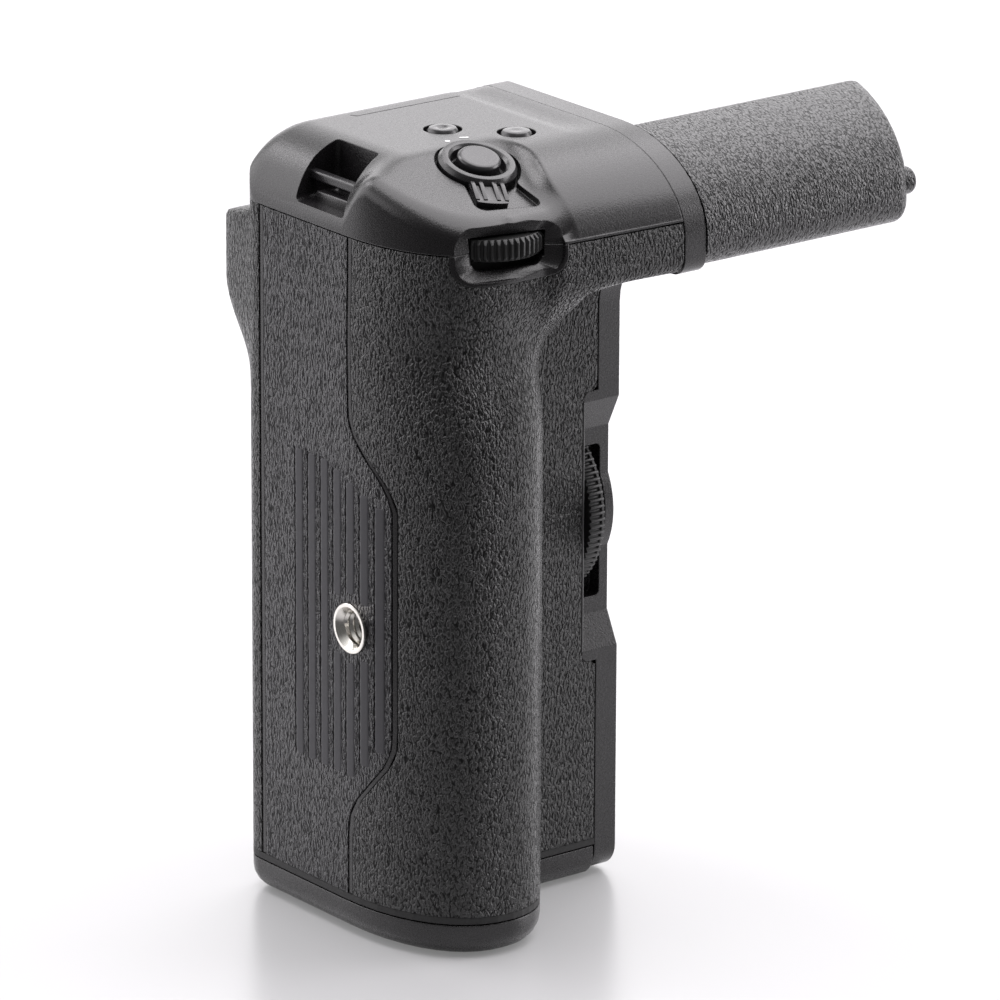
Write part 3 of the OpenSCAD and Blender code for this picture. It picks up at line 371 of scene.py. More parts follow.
def outward(obj):
    """Welds a closed piece and turns its faces outward."""
    edit_all(obj)
    bpy.ops.mesh.remove_doubles(threshold=WELD)
    bpy.ops.mesh.normals_make_consistent(inside=False)
    edit_done()


def prism(name, outline, low, high, place=UNMOVED):
    """A flat outline in millimetres drawn up into a block and set in place."""
    bpy.ops.object.select_all(action="DESELECT")
    bpy.ops.mesh.primitive_circle_add(vertices=len(outline), radius=1, fill_type="NGON")
    obj = new_piece(name)
    for v, p in zip(obj.data.vertices, outline):
        v.co = (p[0], p[1], low)
    edit_all(obj)
    bpy.ops.mesh.extrude_region_move(TRANSFORM_OT_translate={"value": (0, 0, high - low)})
    edit_done()
    obj.data.transform(TO_FRAME @ place)
    outward(obj)
    return obj


def spun(name, profile, place, steps=96):
    """A profile of radius and height in millimetres spun round its own axis and set in place."""
    bpy.ops.object.select_all(action="DESELECT")
    bpy.ops.mesh.primitive_circle_add(vertices=len(profile), radius=1)
    obj = new_piece(name)
    for v, (r, z) in zip(obj.data.vertices, profile):
        v.co = (r, 0, z)
    edit_all(obj)
    bpy.ops.mesh.spin(steps=steps, angle=math.tau, center=(0, 0, 0), axis=(0, 0, 1))
    edit_done()
    obj.data.transform(TO_FRAME @ place)
    outward(obj)
    return obj


def arc(cx, cy, r, start, end, steps):
    return [(cx + r * math.cos(math.radians(lerp(start, end, i / steps))),
             cy + r * math.sin(math.radians(lerp(start, end, i / steps)))) for i in range(steps + 1)]


def circle(r, count, cx=0, cy=0):
    return arc(cx, cy, r, 0, 360 - 360 / count, count - 1)


def rounded(w, h, r, steps=8):
    x, y = w / 2 - r, h / 2 - r
    return (arc(x, y, r, 0, 90, steps) + arc(-x, y, r, 90, 180, steps)
            + arc(-x, -y, r, 180, 270, steps) + arc(x, -y, r, 270, 360, steps))


def copy_of(node, name, flatten=1.0):
    """A merged copy of a solid, its flat faces made whole."""
    bpy.ops.object.select_all(action="DESELECT")
    obj = bpy.data.objects.new(name, NODES[node].data.copy())
    bpy.context.scene.collection.objects.link(obj)
    only(obj)
    bpy.ops.mesh.customdata_custom_splitnormals_clear()
    edit_all(obj)
    bpy.ops.mesh.remove_doubles(threshold=WELD)
    if flatten:
        bpy.ops.mesh.dissolve_limited(angle_limit=math.radians(flatten))
    edit_done()
    return obj


def soften(obj, width, segments=2, angle=32):
    """Rounds a piece's edges by a width in millimetres."""
    apply(obj, "BEVEL", width=width * MM, segments=segments, limit_method="ANGLE",
          angle_limit=math.radians(angle), use_clamp_overlap=True, harden_normals=False,
          miter_outer="MITER_ARC")


def dress(obj, material, body, slot, *nodes):
    """Gives a piece its finish, its body and the solids that it stands for."""
    obj.data.materials.clear()
    obj.data.materials.append(material)
    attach(obj, body)
    if nodes:
        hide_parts(*nodes)
    return obj


# Finishes


def finish_of(name, colour, roughness, specular=0.5, metallic=0.0):
    """A finish with its shader, ready for grain."""
    mat = bpy.data.materials.new(name)
    mat.use_nodes = True
    nodes, links = mat.node_tree.nodes, mat.node_tree.links
    shader = nodes["Principled BSDF"]
    shader.inputs["Base Color"].default_value = (*colour, 1)
    shader.inputs["Roughness"].default_value = roughness
    shader.inputs["Specular IOR Level"].default_value = specular
    shader.inputs["Metallic"].default_value = metallic
    return mat, nodes, links, shader


def placed_grain(nodes, links, scale):
    """Object coordinates through a Mapping node, scale in cells for each metre."""
    coords = nodes.new("ShaderNodeTexCoord")
    mapping = nodes.new("ShaderNodeMapping")
    mapping.inputs["Scale"].default_value = scale
    links.new(coords.outputs["Object"], mapping.inputs["Vector"])
    return mapping.outputs["Vector"]


def mixed(nodes, links, factor, low, high):
    """A colour between two, by a factor."""
    mix = nodes.new("ShaderNodeMix")
    mix.data_type = "RGBA"
    mix.inputs[6].default_value = (*low, 1)
    mix.inputs[7].default_value = (*high, 1)
    links.new(factor, mix.inputs[0])
    return mix.outputs[2]


def ranged(nodes, links, value, low, high, to_low, to_high, smooth_step=True):
    r = nodes.new("ShaderNodeMapRange")
    r.interpolation_type = "SMOOTHSTEP" if smooth_step else "LINEAR"
    for key, v in (("From Min", low), ("From Max", high), ("To Min", to_low), ("To Max", to_high)):
        r.inputs[key].default_value = v
    links.new(value, r.inputs["Value"])
    return r.outputs["Result"]


def noise_of(nodes, links, vector, scale, detail=2.0, rough=0.5):
    n = nodes.new("ShaderNodeTexNoise")
    n.inputs["Scale"].default_value = scale
    n.inputs["Detail"].default_value = detail
    n.inputs["Roughness"].default_value = rough
    links.new(vector, n.inputs["Vector"])
    return n


def math_of(nodes, links, operation, a, b):
    m = nodes.new("ShaderNodeMath")
    m.operation = operation
    for i, v in enumerate((a, b)):
        if isinstance(v, (int, float)):
            m.inputs[i].default_value = v
        else:
            links.new(v, m.inputs[i])
    return m.outputs[0]


def bumped(nodes, links, shader, height, depth, strength=1.0):
    """Lays a relief on a finish, depth in millimetres."""
    bump = nodes.new("ShaderNodeBump")
    bump.inputs["Strength"].default_value = strength
    bump.inputs["Distance"].default_value = depth * MM
    links.new(height, bump.inputs["Height"])
    links.new(bump.outputs["Normal"], shader.inputs["Normal"])
    return bump


def multiplied(nodes, links, first, second):
    """Two colours multiplied."""
    mix = nodes.new("ShaderNodeMix")
    mix.data_type, mix.blend_type = "RGBA", "MULTIPLY"
    mix.inputs[0].default_value = 1.0
    links.new(first, mix.inputs[6])
    links.new(second, mix.inputs[7])
    return mix.outputs[2]


def leather(name, crease_shade, pebble, cell, depth=0.26, roughness=(0.5, 0.22), specular=0.5):
    """Moulded leather grain: pebbles with narrow creases darkened by painted shade, cell = their size in
    millimetres.
    """
    mat, nodes, links, shader = finish_of(name, pebble, roughness[1], specular)
    place = placed_grain(nodes, links, tuple(1000 / c for c in cell))
    wander = noise_of(nodes, links, place, 0.8, 2.0)
    shift = nodes.new("ShaderNodeVectorMath")
    shift.operation = "MULTIPLY_ADD"
    shift.inputs[1].default_value = (0.65, 0.65, 0.45)
    links.new(wander.outputs["Color"], shift.inputs[0])
    links.new(place, shift.inputs[2])
    cells = nodes.new("ShaderNodeTexVoronoi")
    cells.feature = "DISTANCE_TO_EDGE"
    cells.inputs["Scale"].default_value = 1.0
    links.new(shift.outputs[0], cells.inputs["Vector"])
    # Some creases are shallow, so that pebbles run together in short chains
    joined = noise_of(nodes, links, place, 1.3, 1.0)
    shallow = ranged(nodes, links, joined.outputs["Fac"], 0.42, 0.62, 0.0, 0.2, False)
    edge = math_of(nodes, links, "ADD", cells.outputs["Distance"], shallow)
    hills = ranged(nodes, links, edge, 0.0, 0.4, 0.0, 1.0)
    # Painted shade: the narrow creases between the pebbles are coloured dark
    lines = ranged(nodes, links, edge, 0.0, 0.2, 0.0, 1.0)
    fine = noise_of(nodes, links, place, 3.5, 3.0, 0.6)
    bumpy = math_of(nodes, links, "MULTIPLY_ADD", fine.outputs["Fac"], 0.45)
    links.new(hills, bumpy.node.inputs[2])
    bumped(nodes, links, shader, bumpy, depth)
    broad = noise_of(nodes, links, placed_grain(nodes, links, (60, 60, 60)), 1.0, 2.0)
    tone = ranged(nodes, links, broad.outputs["Fac"], 0.3, 0.7, -0.1, 0.1, False)
    speckle = ranged(nodes, links, fine.outputs["Fac"], 0.35, 0.65, -0.18, 0.18, False)
    # Each place's colour: painted shade in the creases, with grain tone that differs at random
    shade = math_of(nodes, links, "MULTIPLY_ADD", lines, 0.82)
    links.new(math_of(nodes, links, "ADD", tone, speckle), shade.node.inputs[2])
    links.new(mixed(nodes, links, shade, crease_shade, pebble), shader.inputs["Base Color"])
    links.new(ranged(nodes, links, lines, 0.0, 1.0, *roughness, False), shader.inputs["Roughness"])
    # Little light comes back out of the creases
    shine = ranged(nodes, links, lines, 0.0, 1.0, 0.24 * specular, specular, False)
    links.new(shine, shader.inputs["Specular IOR Level"])
    return mat


def moulded(name, low, high, grain, depth, roughness, specular=0.5, edge=0.0):
    """Fine-grain moulded plastic, grain and the round on its edges in millimetres."""
    mat, nodes, links, shader = finish_of(name, high, sum(roughness) / 2, specular)
    place = placed_grain(nodes, links, (1000 / grain,) * 3)
    fine = noise_of(nodes, links, place, 1.0, 3.0, 0.6)
    bump = bumped(nodes, links, shader, fine.outputs["Fac"], depth)
    if edge:
        round_edge = nodes.new("ShaderNodeBevel")
        round_edge.samples = 6
        round_edge.inputs["Radius"].default_value = edge * MM
        links.new(round_edge.outputs["Normal"], bump.inputs["Normal"])
    broad = noise_of(nodes, links, placed_grain(nodes, links, (90, 90, 90)), 1.0, 3.0)
    links.new(mixed(nodes, links, broad.outputs["Fac"], low, high), shader.inputs["Base Color"])
    uneven = ranged(nodes, links, fine.outputs["Fac"], 0.3, 0.7, *roughness, False)
    links.new(uneven, shader.inputs["Roughness"])
    return mat


def turned_metal(name, low, high, roughness, stretch):
    """Turned metal with fine tool lines, stretch = lines for each metre along X, Y and Z."""
    mat, nodes, links, shader = finish_of(name, high, sum(roughness) / 2, 0.5, 1.0)
    lines = noise_of(nodes, links, placed_grain(nodes, links, stretch), 1.0, 2.0)
    bumped(nodes, links, shader, lines.outputs["Fac"], 0.01, 0.4)
    links.new(mixed(nodes, links, lines.outputs["Fac"], low, high), shader.inputs["Base Color"])
    uneven = ranged(nodes, links, lines.outputs["Fac"], 0.3, 0.7, *roughness, False)
    links.new(uneven, shader.inputs["Roughness"])
    return mat


# Leather finishes: the creases' painted shade, the pebbles' colour and their cell size
FRONT_RUBBER = leather("front_rubber", (0.002, 0.002, 0.002), (0.0135, 0.0133, 0.0135), (0.66, 0.66, 1.4))
BASE_RUBBER = leather("base_rubber", (0.004, 0.004, 0.0044), (0.0235, 0.0226, 0.0258), (0.7, 0.7, 1.7))
STEM_RUBBER = leather("stem_rubber", (0.002, 0.002, 0.002), (0.012, 0.0115, 0.0125), (0.62, 1.05, 1.25),
                      0.1, (0.4, 0.17), 0.66)
RIB_RUBBER = moulded("rib_rubber", (0.034, 0.033, 0.037), (0.042, 0.041, 0.046), 0.5, 0.03, (0.5, 0.6), 0.4)
SHELL = moulded("shell_plastic", (0.007, 0.0064, 0.007), (0.011, 0.01, 0.011), 0.34, 0.038,
                (0.22, 0.34), 0.5, 0.3)
FRAME_PLASTIC = moulded("frame_plastic", (0.008, 0.008, 0.008), (0.014, 0.014, 0.014), 0.4, 0.02,
                        (0.5, 0.62), 0.4)
GLOSS_BLACK = moulded("gloss_black", (0.006, 0.006, 0.006), (0.01, 0.01, 0.01), 0.5, 0.004, (0.16, 0.24))
DIAL_BLACK = moulded("dial_black", (0.012, 0.012, 0.012), (0.02, 0.02, 0.02), 0.25, 0.02, (0.36, 0.48))
BUTTON_GREY = moulded("button_grey", (0.02, 0.019, 0.0205), (0.027, 0.0255, 0.0275), 0.2, 0.01, (0.2, 0.28))
LOCK_GREY = moulded("lock_grey", (0.01, 0.0095, 0.0105), (0.015, 0.014, 0.0155), 0.2, 0.01, (0.22, 0.32))
# A painted highlight: pale grey for the scoop's thin wall, which is of the black shell plastic
PAINTED_HIGHLIGHT_GREY = moulded("painted_highlight_grey", (0.05, 0.049, 0.05), (0.065, 0.064, 0.065), 0.3, 0.01, (0.3, 0.4))
MARK_WHITE = moulded("mark_white", (0.7, 0.7, 0.7), (0.8, 0.8, 0.8), 0.3, 0.01, (0.5, 0.6))
NICKEL = turned_metal("nickel", (0.62, 0.6, 0.56), (0.78, 0.76, 0.72), (0.16, 0.26), (4000, 300, 300))
BRASS = turned_metal("bush_brass", (0.5, 0.36, 0.16), (0.62, 0.46, 0.22), (0.26, 0.36), (4000, 300, 300))
GOLD = turned_metal("contact_gold", (0.7, 0.5, 0.2), (0.8, 0.6, 0.28), (0.2, 0.3), (900, 900, 900))
BOARD = moulded("board_green", (0.02, 0.1, 0.045), (0.03, 0.14, 0.06), 0.5, 0.01, (0.4, 0.5))
CELL = moulded("cell_grey", (0.03, 0.03, 0.032), (0.045, 0.045, 0.048), 0.3, 0.02, (0.45, 0.55))


# Leather-grain covers


def cover(name, rows, material, slot, node, cutters=(), grooves=()):
    """A rubber cover: its skin, thickened inwards, with soft edges and sharp grooves."""
    obj = sheet_of(name, rows)
    wide, high = len(rows[0]), len(rows)
    inner = obj.vertex_groups.new(name="inner")
    inner.add([i * wide + j for i in range(1, high - 1) for j in range(1, wide - 1)], 1.0, "REPLACE")
    apply(obj, "SMOOTH", factor=0.5, iterations=2, vertex_group="inner")
    obj.vertex_groups.clear()
    outward_skin(obj)
    apply(obj, "SOLIDIFY", thickness=(SKIN_T - SEAT) * MM, offset=-1, use_even_offset=False)
    cut(obj, *cutters)
    soften(obj, 0.22, 2, 50)
    cut(obj, *grooves)
    smooth_shade(obj, 40)
    return dress(obj, material, "grip_body", slot, node)


def outward_skin(obj):
    """Turns an open skin's faces away from the handle's middle."""
    middle = at(26, -18, 70)
    score = sum((p.center - middle).dot(p.normal) * p.area for p in obj.data.polygons)
    if score < 0:
        edit_all(obj)
        bpy.ops.mesh.flip_normals()
        edit_done()


def skin_heights(n):
    """Heights of a cover's rows, from its lower edge to the control end's seam."""
    return [lerp(SKIN_Z, SEAM_Z - SEAM_GAP, i / n) for i in range(n + 1)]


def scoop_edge(z):
    """Front cover's edge beside the rim: it steps in round the wheel's scoop with a rounded corner."""
    inside = JOG_HALF - abs(z - SCOOP_Z)
    if inside < 0:
        return RIM_X - SEAM_GAP - (SCOOP_W - JOG_R) * smooth(-JOG_H, 0, inside)
    return RIM_X - SEAM_GAP - SCOOP_W + round_drop(JOG_R, inside)


def front_heights():
    """Heights of the front cover's rows, close together where its edge jogs round the scoop."""
    jogs = [SCOOP_Z + side * (JOG_HALF + JOG_H - 0.15 * i) for side in (-1, 1) for i in range(12)]
    return sorted([z for z in skin_heights(150) if min(abs(z - j) for j in jogs) > 0.2] + jogs)


def front_row(z):
    """Front cover at one height: palm, nose, neck and finger wall."""
    start = palm_angle(seam_y(z) - COVER_HALF)
    edge = scoop_edge(z)
    pts = [palm_point(lerp(start, math.pi / 2, i / PALM_STEPS), z) for i in range(PALM_STEPS + 1)]
    pts += [finger_point(i / FINGER_STEPS, z, edge) for i in range(1, FINGER_STEPS + 1)]
    return [(x, y, z) for x, y in pts]


def base_row(z):
    """Base cover at one height: the flat base and the start of the palm."""
    end = palm_angle(seam_y(z) + COVER_HALF)
    pts = [(0.0, lerp(-COVER_HALF, BEND_Y, i / 20)) for i in range(20)]
    return [(x, y, z) for x, y in pts + [palm_point(end * i / 24, z) for i in range(25)]]


def thumb(x, z):
    """How far the thumb rest stands out of the rear face."""
    return (THUMB_RISE * smooth(0.2, 3.4, x) * smooth(THUMB_W + 2, THUMB_W - 6, x)
            * smooth(THUMB_TOP_Z - 33, THUMB_TOP_Z - 15, z) * smooth(THUMB_TOP_Z, THUMB_TOP_Z - 3, z))


def rear_row(z):
    """Rear cover at one height, which ends at the thumb panel above its step."""
    edge = RIM_X - SEAM_GAP if z < PANEL_STEP_Z else PANEL_X
    pts = [(lerp(edge, BACK_R, i / 40), REAR_Y) for i in range(40)]
    pts += arc(BACK_R, REAR_Y - BACK_R, BACK_R, 90, 180, 16) + [(0.0, COVER_HALF)]
    return [(x, y + thumb(x, z), z) for x, y in pts]


def rear_heights():
    """Heights of the rear cover's rows, two of them close together at its step."""
    step = [PANEL_STEP_Z - 0.05, PANEL_STEP_Z + 0.05]
    return sorted([z for z in skin_heights(130) if min(abs(z - t) for t in step) > 0.3] + step)


def bezel_place():
    """Middle of the dial's frame, facing out of the nose."""
    mid = DIAL - (DIAL_R - 2.2) * Vector((math.sin(BEZEL_TURN), math.cos(BEZEL_TURN), 0))
    return Matrix.Translation((mid.x, mid.y, BEZEL_Z)) @ Matrix.Rotation(-BEZEL_TURN, 4, "Z") @ TO_FRONT


def dial_cut():
    return prism("dial_cut", circle(DIAL_R + DIAL_GAP, 72), -DIAL_ROOM, DIAL_ROOM, Matrix.Translation(DIAL))


def recess_cut():
    return prism("recess_cut", rounded(BEZEL_W + 2 * SEAT, BEZEL_H + 2 * SEAT, 4), -3 - SEAT, 5, bezel_place())


def funnel_cut():
    """The dial's recess: a frame that slopes in from the skin to a narrow window for the dial."""
    place = bezel_place()

    def skin(x, y):
        return 2.6 - 2.1 * (x / 10.5) ** 2 - 2.1 * (max(0.0, y) / 5.2) ** 2

    def ring(outline, depth):
        pts = [place @ Vector((x, y, depth(x, y))) for x, y in outline]
        return pts + pts[:1]
    window = [(x, y + 0.1) for x, y in rounded(WINDOW_W, WINDOW_H, WINDOW_R)]
    mouth = [(x, y * 1.09 + 0.4) for x, y in rounded(BEZEL_W - FRAME_EDGE, BEZEL_H - FRAME_EDGE, 3.4)]
    return closed_sheet("funnel_cut", [
        ring(window, lambda x, y: -4), ring(window, lambda x, y: skin(x, y) - FRAME_D),
        ring(mouth, lambda x, y: skin(x, y) + 0.1), ring(mouth, lambda x, y: 10.6)])


# Ribs of the base cover: smooth bands, each with a narrow groove along its rear edge


def base_x(y):
    return palm_point(palm_angle(y), 60)[0] if y < BEND_Y else 0.0


def rib_spans(y):
    """A rib's lengths from low to high, broken round the tripod bushing."""
    low, high = RIB_LOW_Z + max(0.0, -y - 27) * 0.9, RIB_HIGH_Z - max(0.0, -y - 20) * 0.4
    gap = math.sqrt(max(0.0, SOCKET_CLEAR_R ** 2 - (y - SOCKET.y) ** 2))
    return [(low, SOCKET.z - gap), (SOCKET.z + gap, high)] if gap else [(low, high)]


def rib(name, y, low, high):
    """One smooth band laid on the base cover, with rounded ends."""
    rows = []
    for i in range(41):
        ends = 0.5 - 0.5 * math.cos(math.pi * i / 40)
        z = lerp(low, high, ends)
        half = RIB_W / 2 * math.sqrt(1 - max(0.0, 1 - min(z - low, high - z) / RIB_END_R) ** 2 * 0.98)
        row = []
        for k in range(-6, 7):
            side = y - 0.1 - half * k / 6
            swell = math.sqrt(1 - abs(k / 6) ** 6) * min(1.0, half / RIB_W * 2 + 0.1)
            row.append((base_x(side) + RIB_SUNK - (RIB_RISE + RIB_SUNK) * swell, side, z))
        rows.append(row)
    obj = sheet_of(name, rows)
    outward_skin(obj)
    apply(obj, "SOLIDIFY", thickness=0.3 * MM, offset=-1)
    smooth_shade(obj, 60)
    return obj


def groove_cuts():
    cuts = []
    for y in RIBS:
        side = y + RIB_W / 2 - GROOVE_W / 2
        for low, high in rib_spans(y):
            outline = [(-high, side), (-low, side), (-low, side + GROOVE_W), (-high, side + GROOVE_W)]
            cuts.append(prism("groove_cut", outline, -2, base_x(side) + 0.3, ALONG_X))
    return cuts


cover("front_leather", [front_row(z) for z in front_heights()], FRONT_RUBBER, "rubber", "front_cover",
      [recess_cut(), dial_cut()])
cover("base_leather", [base_row(z) for z in skin_heights(130)], BASE_RUBBER, "base_rubber", "base_cover",
      [prism("socket_cut", circle(SOCKET_R + SEAT, 60), -2, 4, SOCKET_PLACE)], groove_cuts())
bands = [rib("rib_band", y, *span) for y in RIBS for span in rib_spans(y)]
only(bands[0])
for b in bands:
    b.select_set(True)
bpy.ops.object.join()
dress(new_piece("base_ribs"), RIB_RUBBER, "grip_body", "base_rubber")
cover("rear_leather", [rear_row(z) for z in rear_heights()], FRONT_RUBBER, "rubber", "rear_cover")


# Control end


def cap_rows(plate_steps=48, skin_rows=60):
    """Rings of the control end, from its underside's middle out to the seam and over the skin to the top."""
    ring = body_points(SEAM_Z)
    end_y = ring[-1][1]
    ring += [(BODY_END_X, lerp(end_y, REAR_Y, (i / plate_steps) ** 1.6)) for i in range(1, plate_steps + 1)]
    mid_x, mid_y = CREASE_X - 4, -18.0
    rows = [[(lerp(mid_x, x, s), lerp(mid_y, y, s), SEAM_Z) for x, y in ring] for s in (0.02, 0.4, 0.8)]
    rows.append([(x, y, SEAM_Z) for x, y in ring])
    for i in range(skin_rows + 1):
        t = 0.98 * (i / skin_rows) ** 1.9
        places = [(lerp(x, mid_x, t), lerp(y, mid_y, t)) for x, y in ring]
        rows.append([(x, y, cap_height(x, y)) for x, y in places])
    return rows


def pod_place():
    """The shutter's place on its tilted panel."""
    z = BODY_H - math.tan(POD_TILT) * (POD_Y - SHUTTER[1])
    return Matrix.Translation((*SHUTTER, z)) @ Matrix.Rotation(POD_TILT, 4, "X")


def bay_outline(inner):
    """The lever's bay with its round corners, closed by a ring of the inner radius."""
    def turned(pts, degrees):
        c, d = math.cos(math.radians(degrees)), math.sin(math.radians(degrees))
        return [(c * x - d * y, d * x + c * y) for x, y in pts]
    first = arc(7.54, -5.45, 1.5, 144.1, 90, 6) + arc(13, -1.7, 2, -90, 0, 8)
    last = arc(13.3, 1.85, 1.55, 0, 90, 8) + arc(7.9, 4.9, 1.5, -90, -148.2, 6)
    ring = arc(0, 0, inner, LEVER_REST + LEVER_SWING + 31.8, LEVER_REST - 35.9, 16)
    return turned(first, LEVER_REST) + turned(last, LEVER_REST + LEVER_SWING) + ring


def key_cuts():
    return [prism("ring_cut", circle(LOCK_HOLE_R, 90), -2.2, 6, pod_place()),
            prism("bay_cut", bay_outline(6.5), -BAY_D, 6.1, pod_place())]


def small_button_cutters():
    return [prism("button_cut", circle(KEY_HOLE_R, 48), BODY_H - 2, ABOVE, Matrix.Translation((x, y, 0)))
            for x, y in BUTTONS]


cap = closed_sheet("control_end", cap_rows())
slot_cut = prism("slot_cut", STRAP_SLOT, SLOT_FLOOR_Z, ABOVE)
# A fine parting line along the top, turned to the rear at its end
PARTING_LINE = [(21.5, -0.1), (STEP_X, -0.35), (STEP_X, -0.1), (21.7, 0.15), (20.9, 1.2), (20.7, 1.1)]
line_cut = prism("line_cut", PARTING_LINE, BODY_H - 1.0, BODY_H + 2)
soften(slot_cut, 1.0, 4)
cut(cap, slot_cut, *key_cuts(), *small_button_cutters(), dial_cut(), funnel_cut(), line_cut)
smooth_shade(cap, 32)
dress(cap, SHELL, "grip_body", "shell_plastic", "end_cover")

# Rounded step inside the strap slot, behind its bar
slot_step = prism("slot_step", [(3.2, -23.6), (5.4, -23.0)] + arc(5.2, -13.4, 0.9, 0, 90, 5) + [(3.2, -12.4)],
                  SLOT_FLOOR_Z - 0.3, SLOT_FLOOR_Z + 2)
soften(slot_step, 0.25, 3, 40)
smooth_shade(slot_step)
dress(slot_step, SHELL, "grip_body", "shell_plastic")

# White dot and bar behind the lock ring
dot = prism("lock_dot", circle(DOT_R, 48, *DOT), 0, MARK_H, Matrix.Translation((0, 0, cap_height(*DOT))))
bar = prism("lock_bar", rounded(1.7, 0.62, 0.3), 0, MARK_H,
            Matrix.Translation((*BAR, cap_height(*BAR))) @ Matrix.Rotation(BAR_TURN, 4, "Z"))
for mark in (dot, bar):
    soften(mark, 0.02, 1, 40)
    dress(mark, MARK_WHITE, "grip_body", "shell_plastic")


# Tripod bushing: a polished ring, a countersink and a thread


def socket_thread(pitch=1.27, turns=5):
    """A ridge wound along the bushing's bore."""
    rows = [[], [], [], []]
    for i in range(turns * 48 + 1):
        a, depth = math.tau * i / 48, 1.5 + pitch * i / 48
        for row, (d, r) in zip(rows, ((-0.55, 3.05), (-0.08, 2.62), (0.08, 2.62), (0.55, 3.05))):
            row.append((SOCKET.x + depth + d, SOCKET.y + r * math.cos(a), SOCKET.z + r * math.sin(a)))
    obj = sheet_of("socket_thread", rows)
    apply(obj, "SOLIDIFY", thickness=0.12 * MM, offset=0)
    outward(obj)
    smooth_shade(obj, 40)
    return obj


BUSH_PROFILE = [(SOCKET_R, -0.14), (4.54, -0.25), (4.02, -0.25), (3.94, -0.18), (3.1, 1.2), (3.1, 8),
                (SOCKET_R, 8)]
bush = spun("socket_bush", BUSH_PROFILE, SOCKET_PLACE)
smooth_shade(bush, 25)
dress(bush, NICKEL, "grip_body", "steel", "tripod_bushing")
dress(socket_thread(), NICKEL, "grip_body", "steel")


# Pieces that keep their solid's shape, with softened edges


def softened(node, name, material, body, slot, width, segments=2, angle=32, flatten=1.0):
    """A solid's own shape with its edges rounded by a width in millimetres."""
    obj = copy_of(node, name, flatten)
    soften(obj, width, segments, angle)
    smooth_shade(obj, 35)
    apply(obj, "WEIGHTED_NORMAL", keep_sharp=True)
    return dress(obj, material, body, slot, node)


# Camera plate with the wheel's window
plate = copy_of("mount_plate", "camera_plate")
soften(plate, 0.3)
opening = [(x + OPENING_X, z + OPENING_Z) for x, z in rounded(OPENING_W, OPENING_H, OPENING_R)]
cut(plate, prism("window_cut", opening, 24.5, 33, TO_FRONT))
smooth_shade(plate, 20)
dress(plate, SHELL, "grip_body", "shell_plastic", "mount_plate")


def scoop_wall():
    """Thin wall of the scoop beside the front cover's edge, level with the leather, in a pale grey that is a
    painted highlight.
    """
    rows = []
    for i in range(91):
        z = lerp(SCOOP_Z - JOG_HALF + 0.1, SCOOP_Z + JOG_HALF - 0.1, i / 90)
        x, floor = scoop_edge(z) + 0.2, WALL_Y + 3.2
        ring = [(0, floor), (0, WALL_Y + 0.15), (0.12, WALL_Y + 0.02), (0.32, WALL_Y + 0.02),
                (0.45, WALL_Y + 0.15), (0.45, floor), (0, floor)]
        rows.append([(x + d, y, z) for d, y in ring])
    return closed_sheet("scoop_wall", rows)


# The scoop's wall is coloured pale grey as a painted highlight along its edge
wall = scoop_wall()
smooth_shade(wall, 50)
dress(wall, PAINTED_HIGHLIGHT_GREY, "grip_body", "shell_plastic")

# Lower lip of the dial's frame, which follows the skin, and the dial
lip = sheet_of("dial_lip", [front_row(lerp(SEAM_Z - 6.4, SEAM_Z - SEAT, i / 16)) for i in range(17)])
outward_skin(lip)
apply(lip, "SOLIDIFY", thickness=3.2 * MM, offset=-1, use_even_offset=False)
shared(lip, prism("lip_block", rounded(BEZEL_W, BEZEL_H, 4), -3, 8, bezel_place()))
cut(lip, funnel_cut(), dial_cut())
soften(lip, 0.2, 2, 40)
smooth_shade(lip, 32)
dress(lip, SHELL, "grip_body", "gloss_black", "dial_bezel")
softened("strap_bar", "slot_bar", LOCK_GREY, "grip_body", "lock_grey", 0.2)
dial = copy_of("front_dial", "front_thumbwheel")
# Its teeth are cut back at both rims
shared(dial, spun("crown", [(0, -2.1), (9.4, -2.1), (10.3, -1.1), (10.3, 1.1), (9.4, 2.1), (0, 2.1)],
                  Matrix.Translation(DIAL)))
soften(dial, 0.1)
smooth_shade(dial)
dress(dial, DIAL_BLACK, "thumbwheel", "dial_black", "front_dial")

# Shutter and its lock, whose lever stands in a shallow bay and has ridges that fall towards its tip
softened("shutter_button", "shutter_key", BUTTON_GREY, "shutter", "button_grey", 0.12, 2, 20)
lock = copy_of("lock_lever", "shutter_lock")
lever_area = (arc(0, 0, 16, LEVER_REST - 50, LEVER_REST + 50, 12)
              + arc(0, 0, 7.3, LEVER_REST + 50, LEVER_REST - 50, 12))
cut(lock, prism("under_cut", lever_area, -4, 0.1 - BAY_D, pod_place()))
cut(lock, prism("ridge_cut", [(7.6, 0.95), (13, 0.22), (13, 3), (7.6, 3)], -7, 7,
                pod_place() @ Matrix.Rotation(math.radians(LEVER_REST), 4, "Z") @ TO_FRONT))
soften(lock, 0.14, 2, 25)
smooth_shade(lock, 35)
dress(lock, LOCK_GREY, "lock", "lock_grey", "lock_lever")

# Small buttons, the left one dished
for (x, y), side, dish in zip(BUTTONS, ("left", "right"), (0.16, 0.0)):
    profile = [(0.0, -1.2), (0.0, 0.3 - dish), (0.5, 0.31 - dish), (0.85, 0.34 - dish * 0.6), (1.1, 0.36),
               (2.3, 0.38), (2.42, 0.33), (2.9, -0.3), (2.96, -0.5), (2.96, -1.2)]
    key = spun(side + "_key", profile, Matrix.Translation((x, y, BODY_H)))
    smooth_shade(key, 25)
    dress(key, BUTTON_GREY, side + "_button", "button_grey", "function_button_" + side)

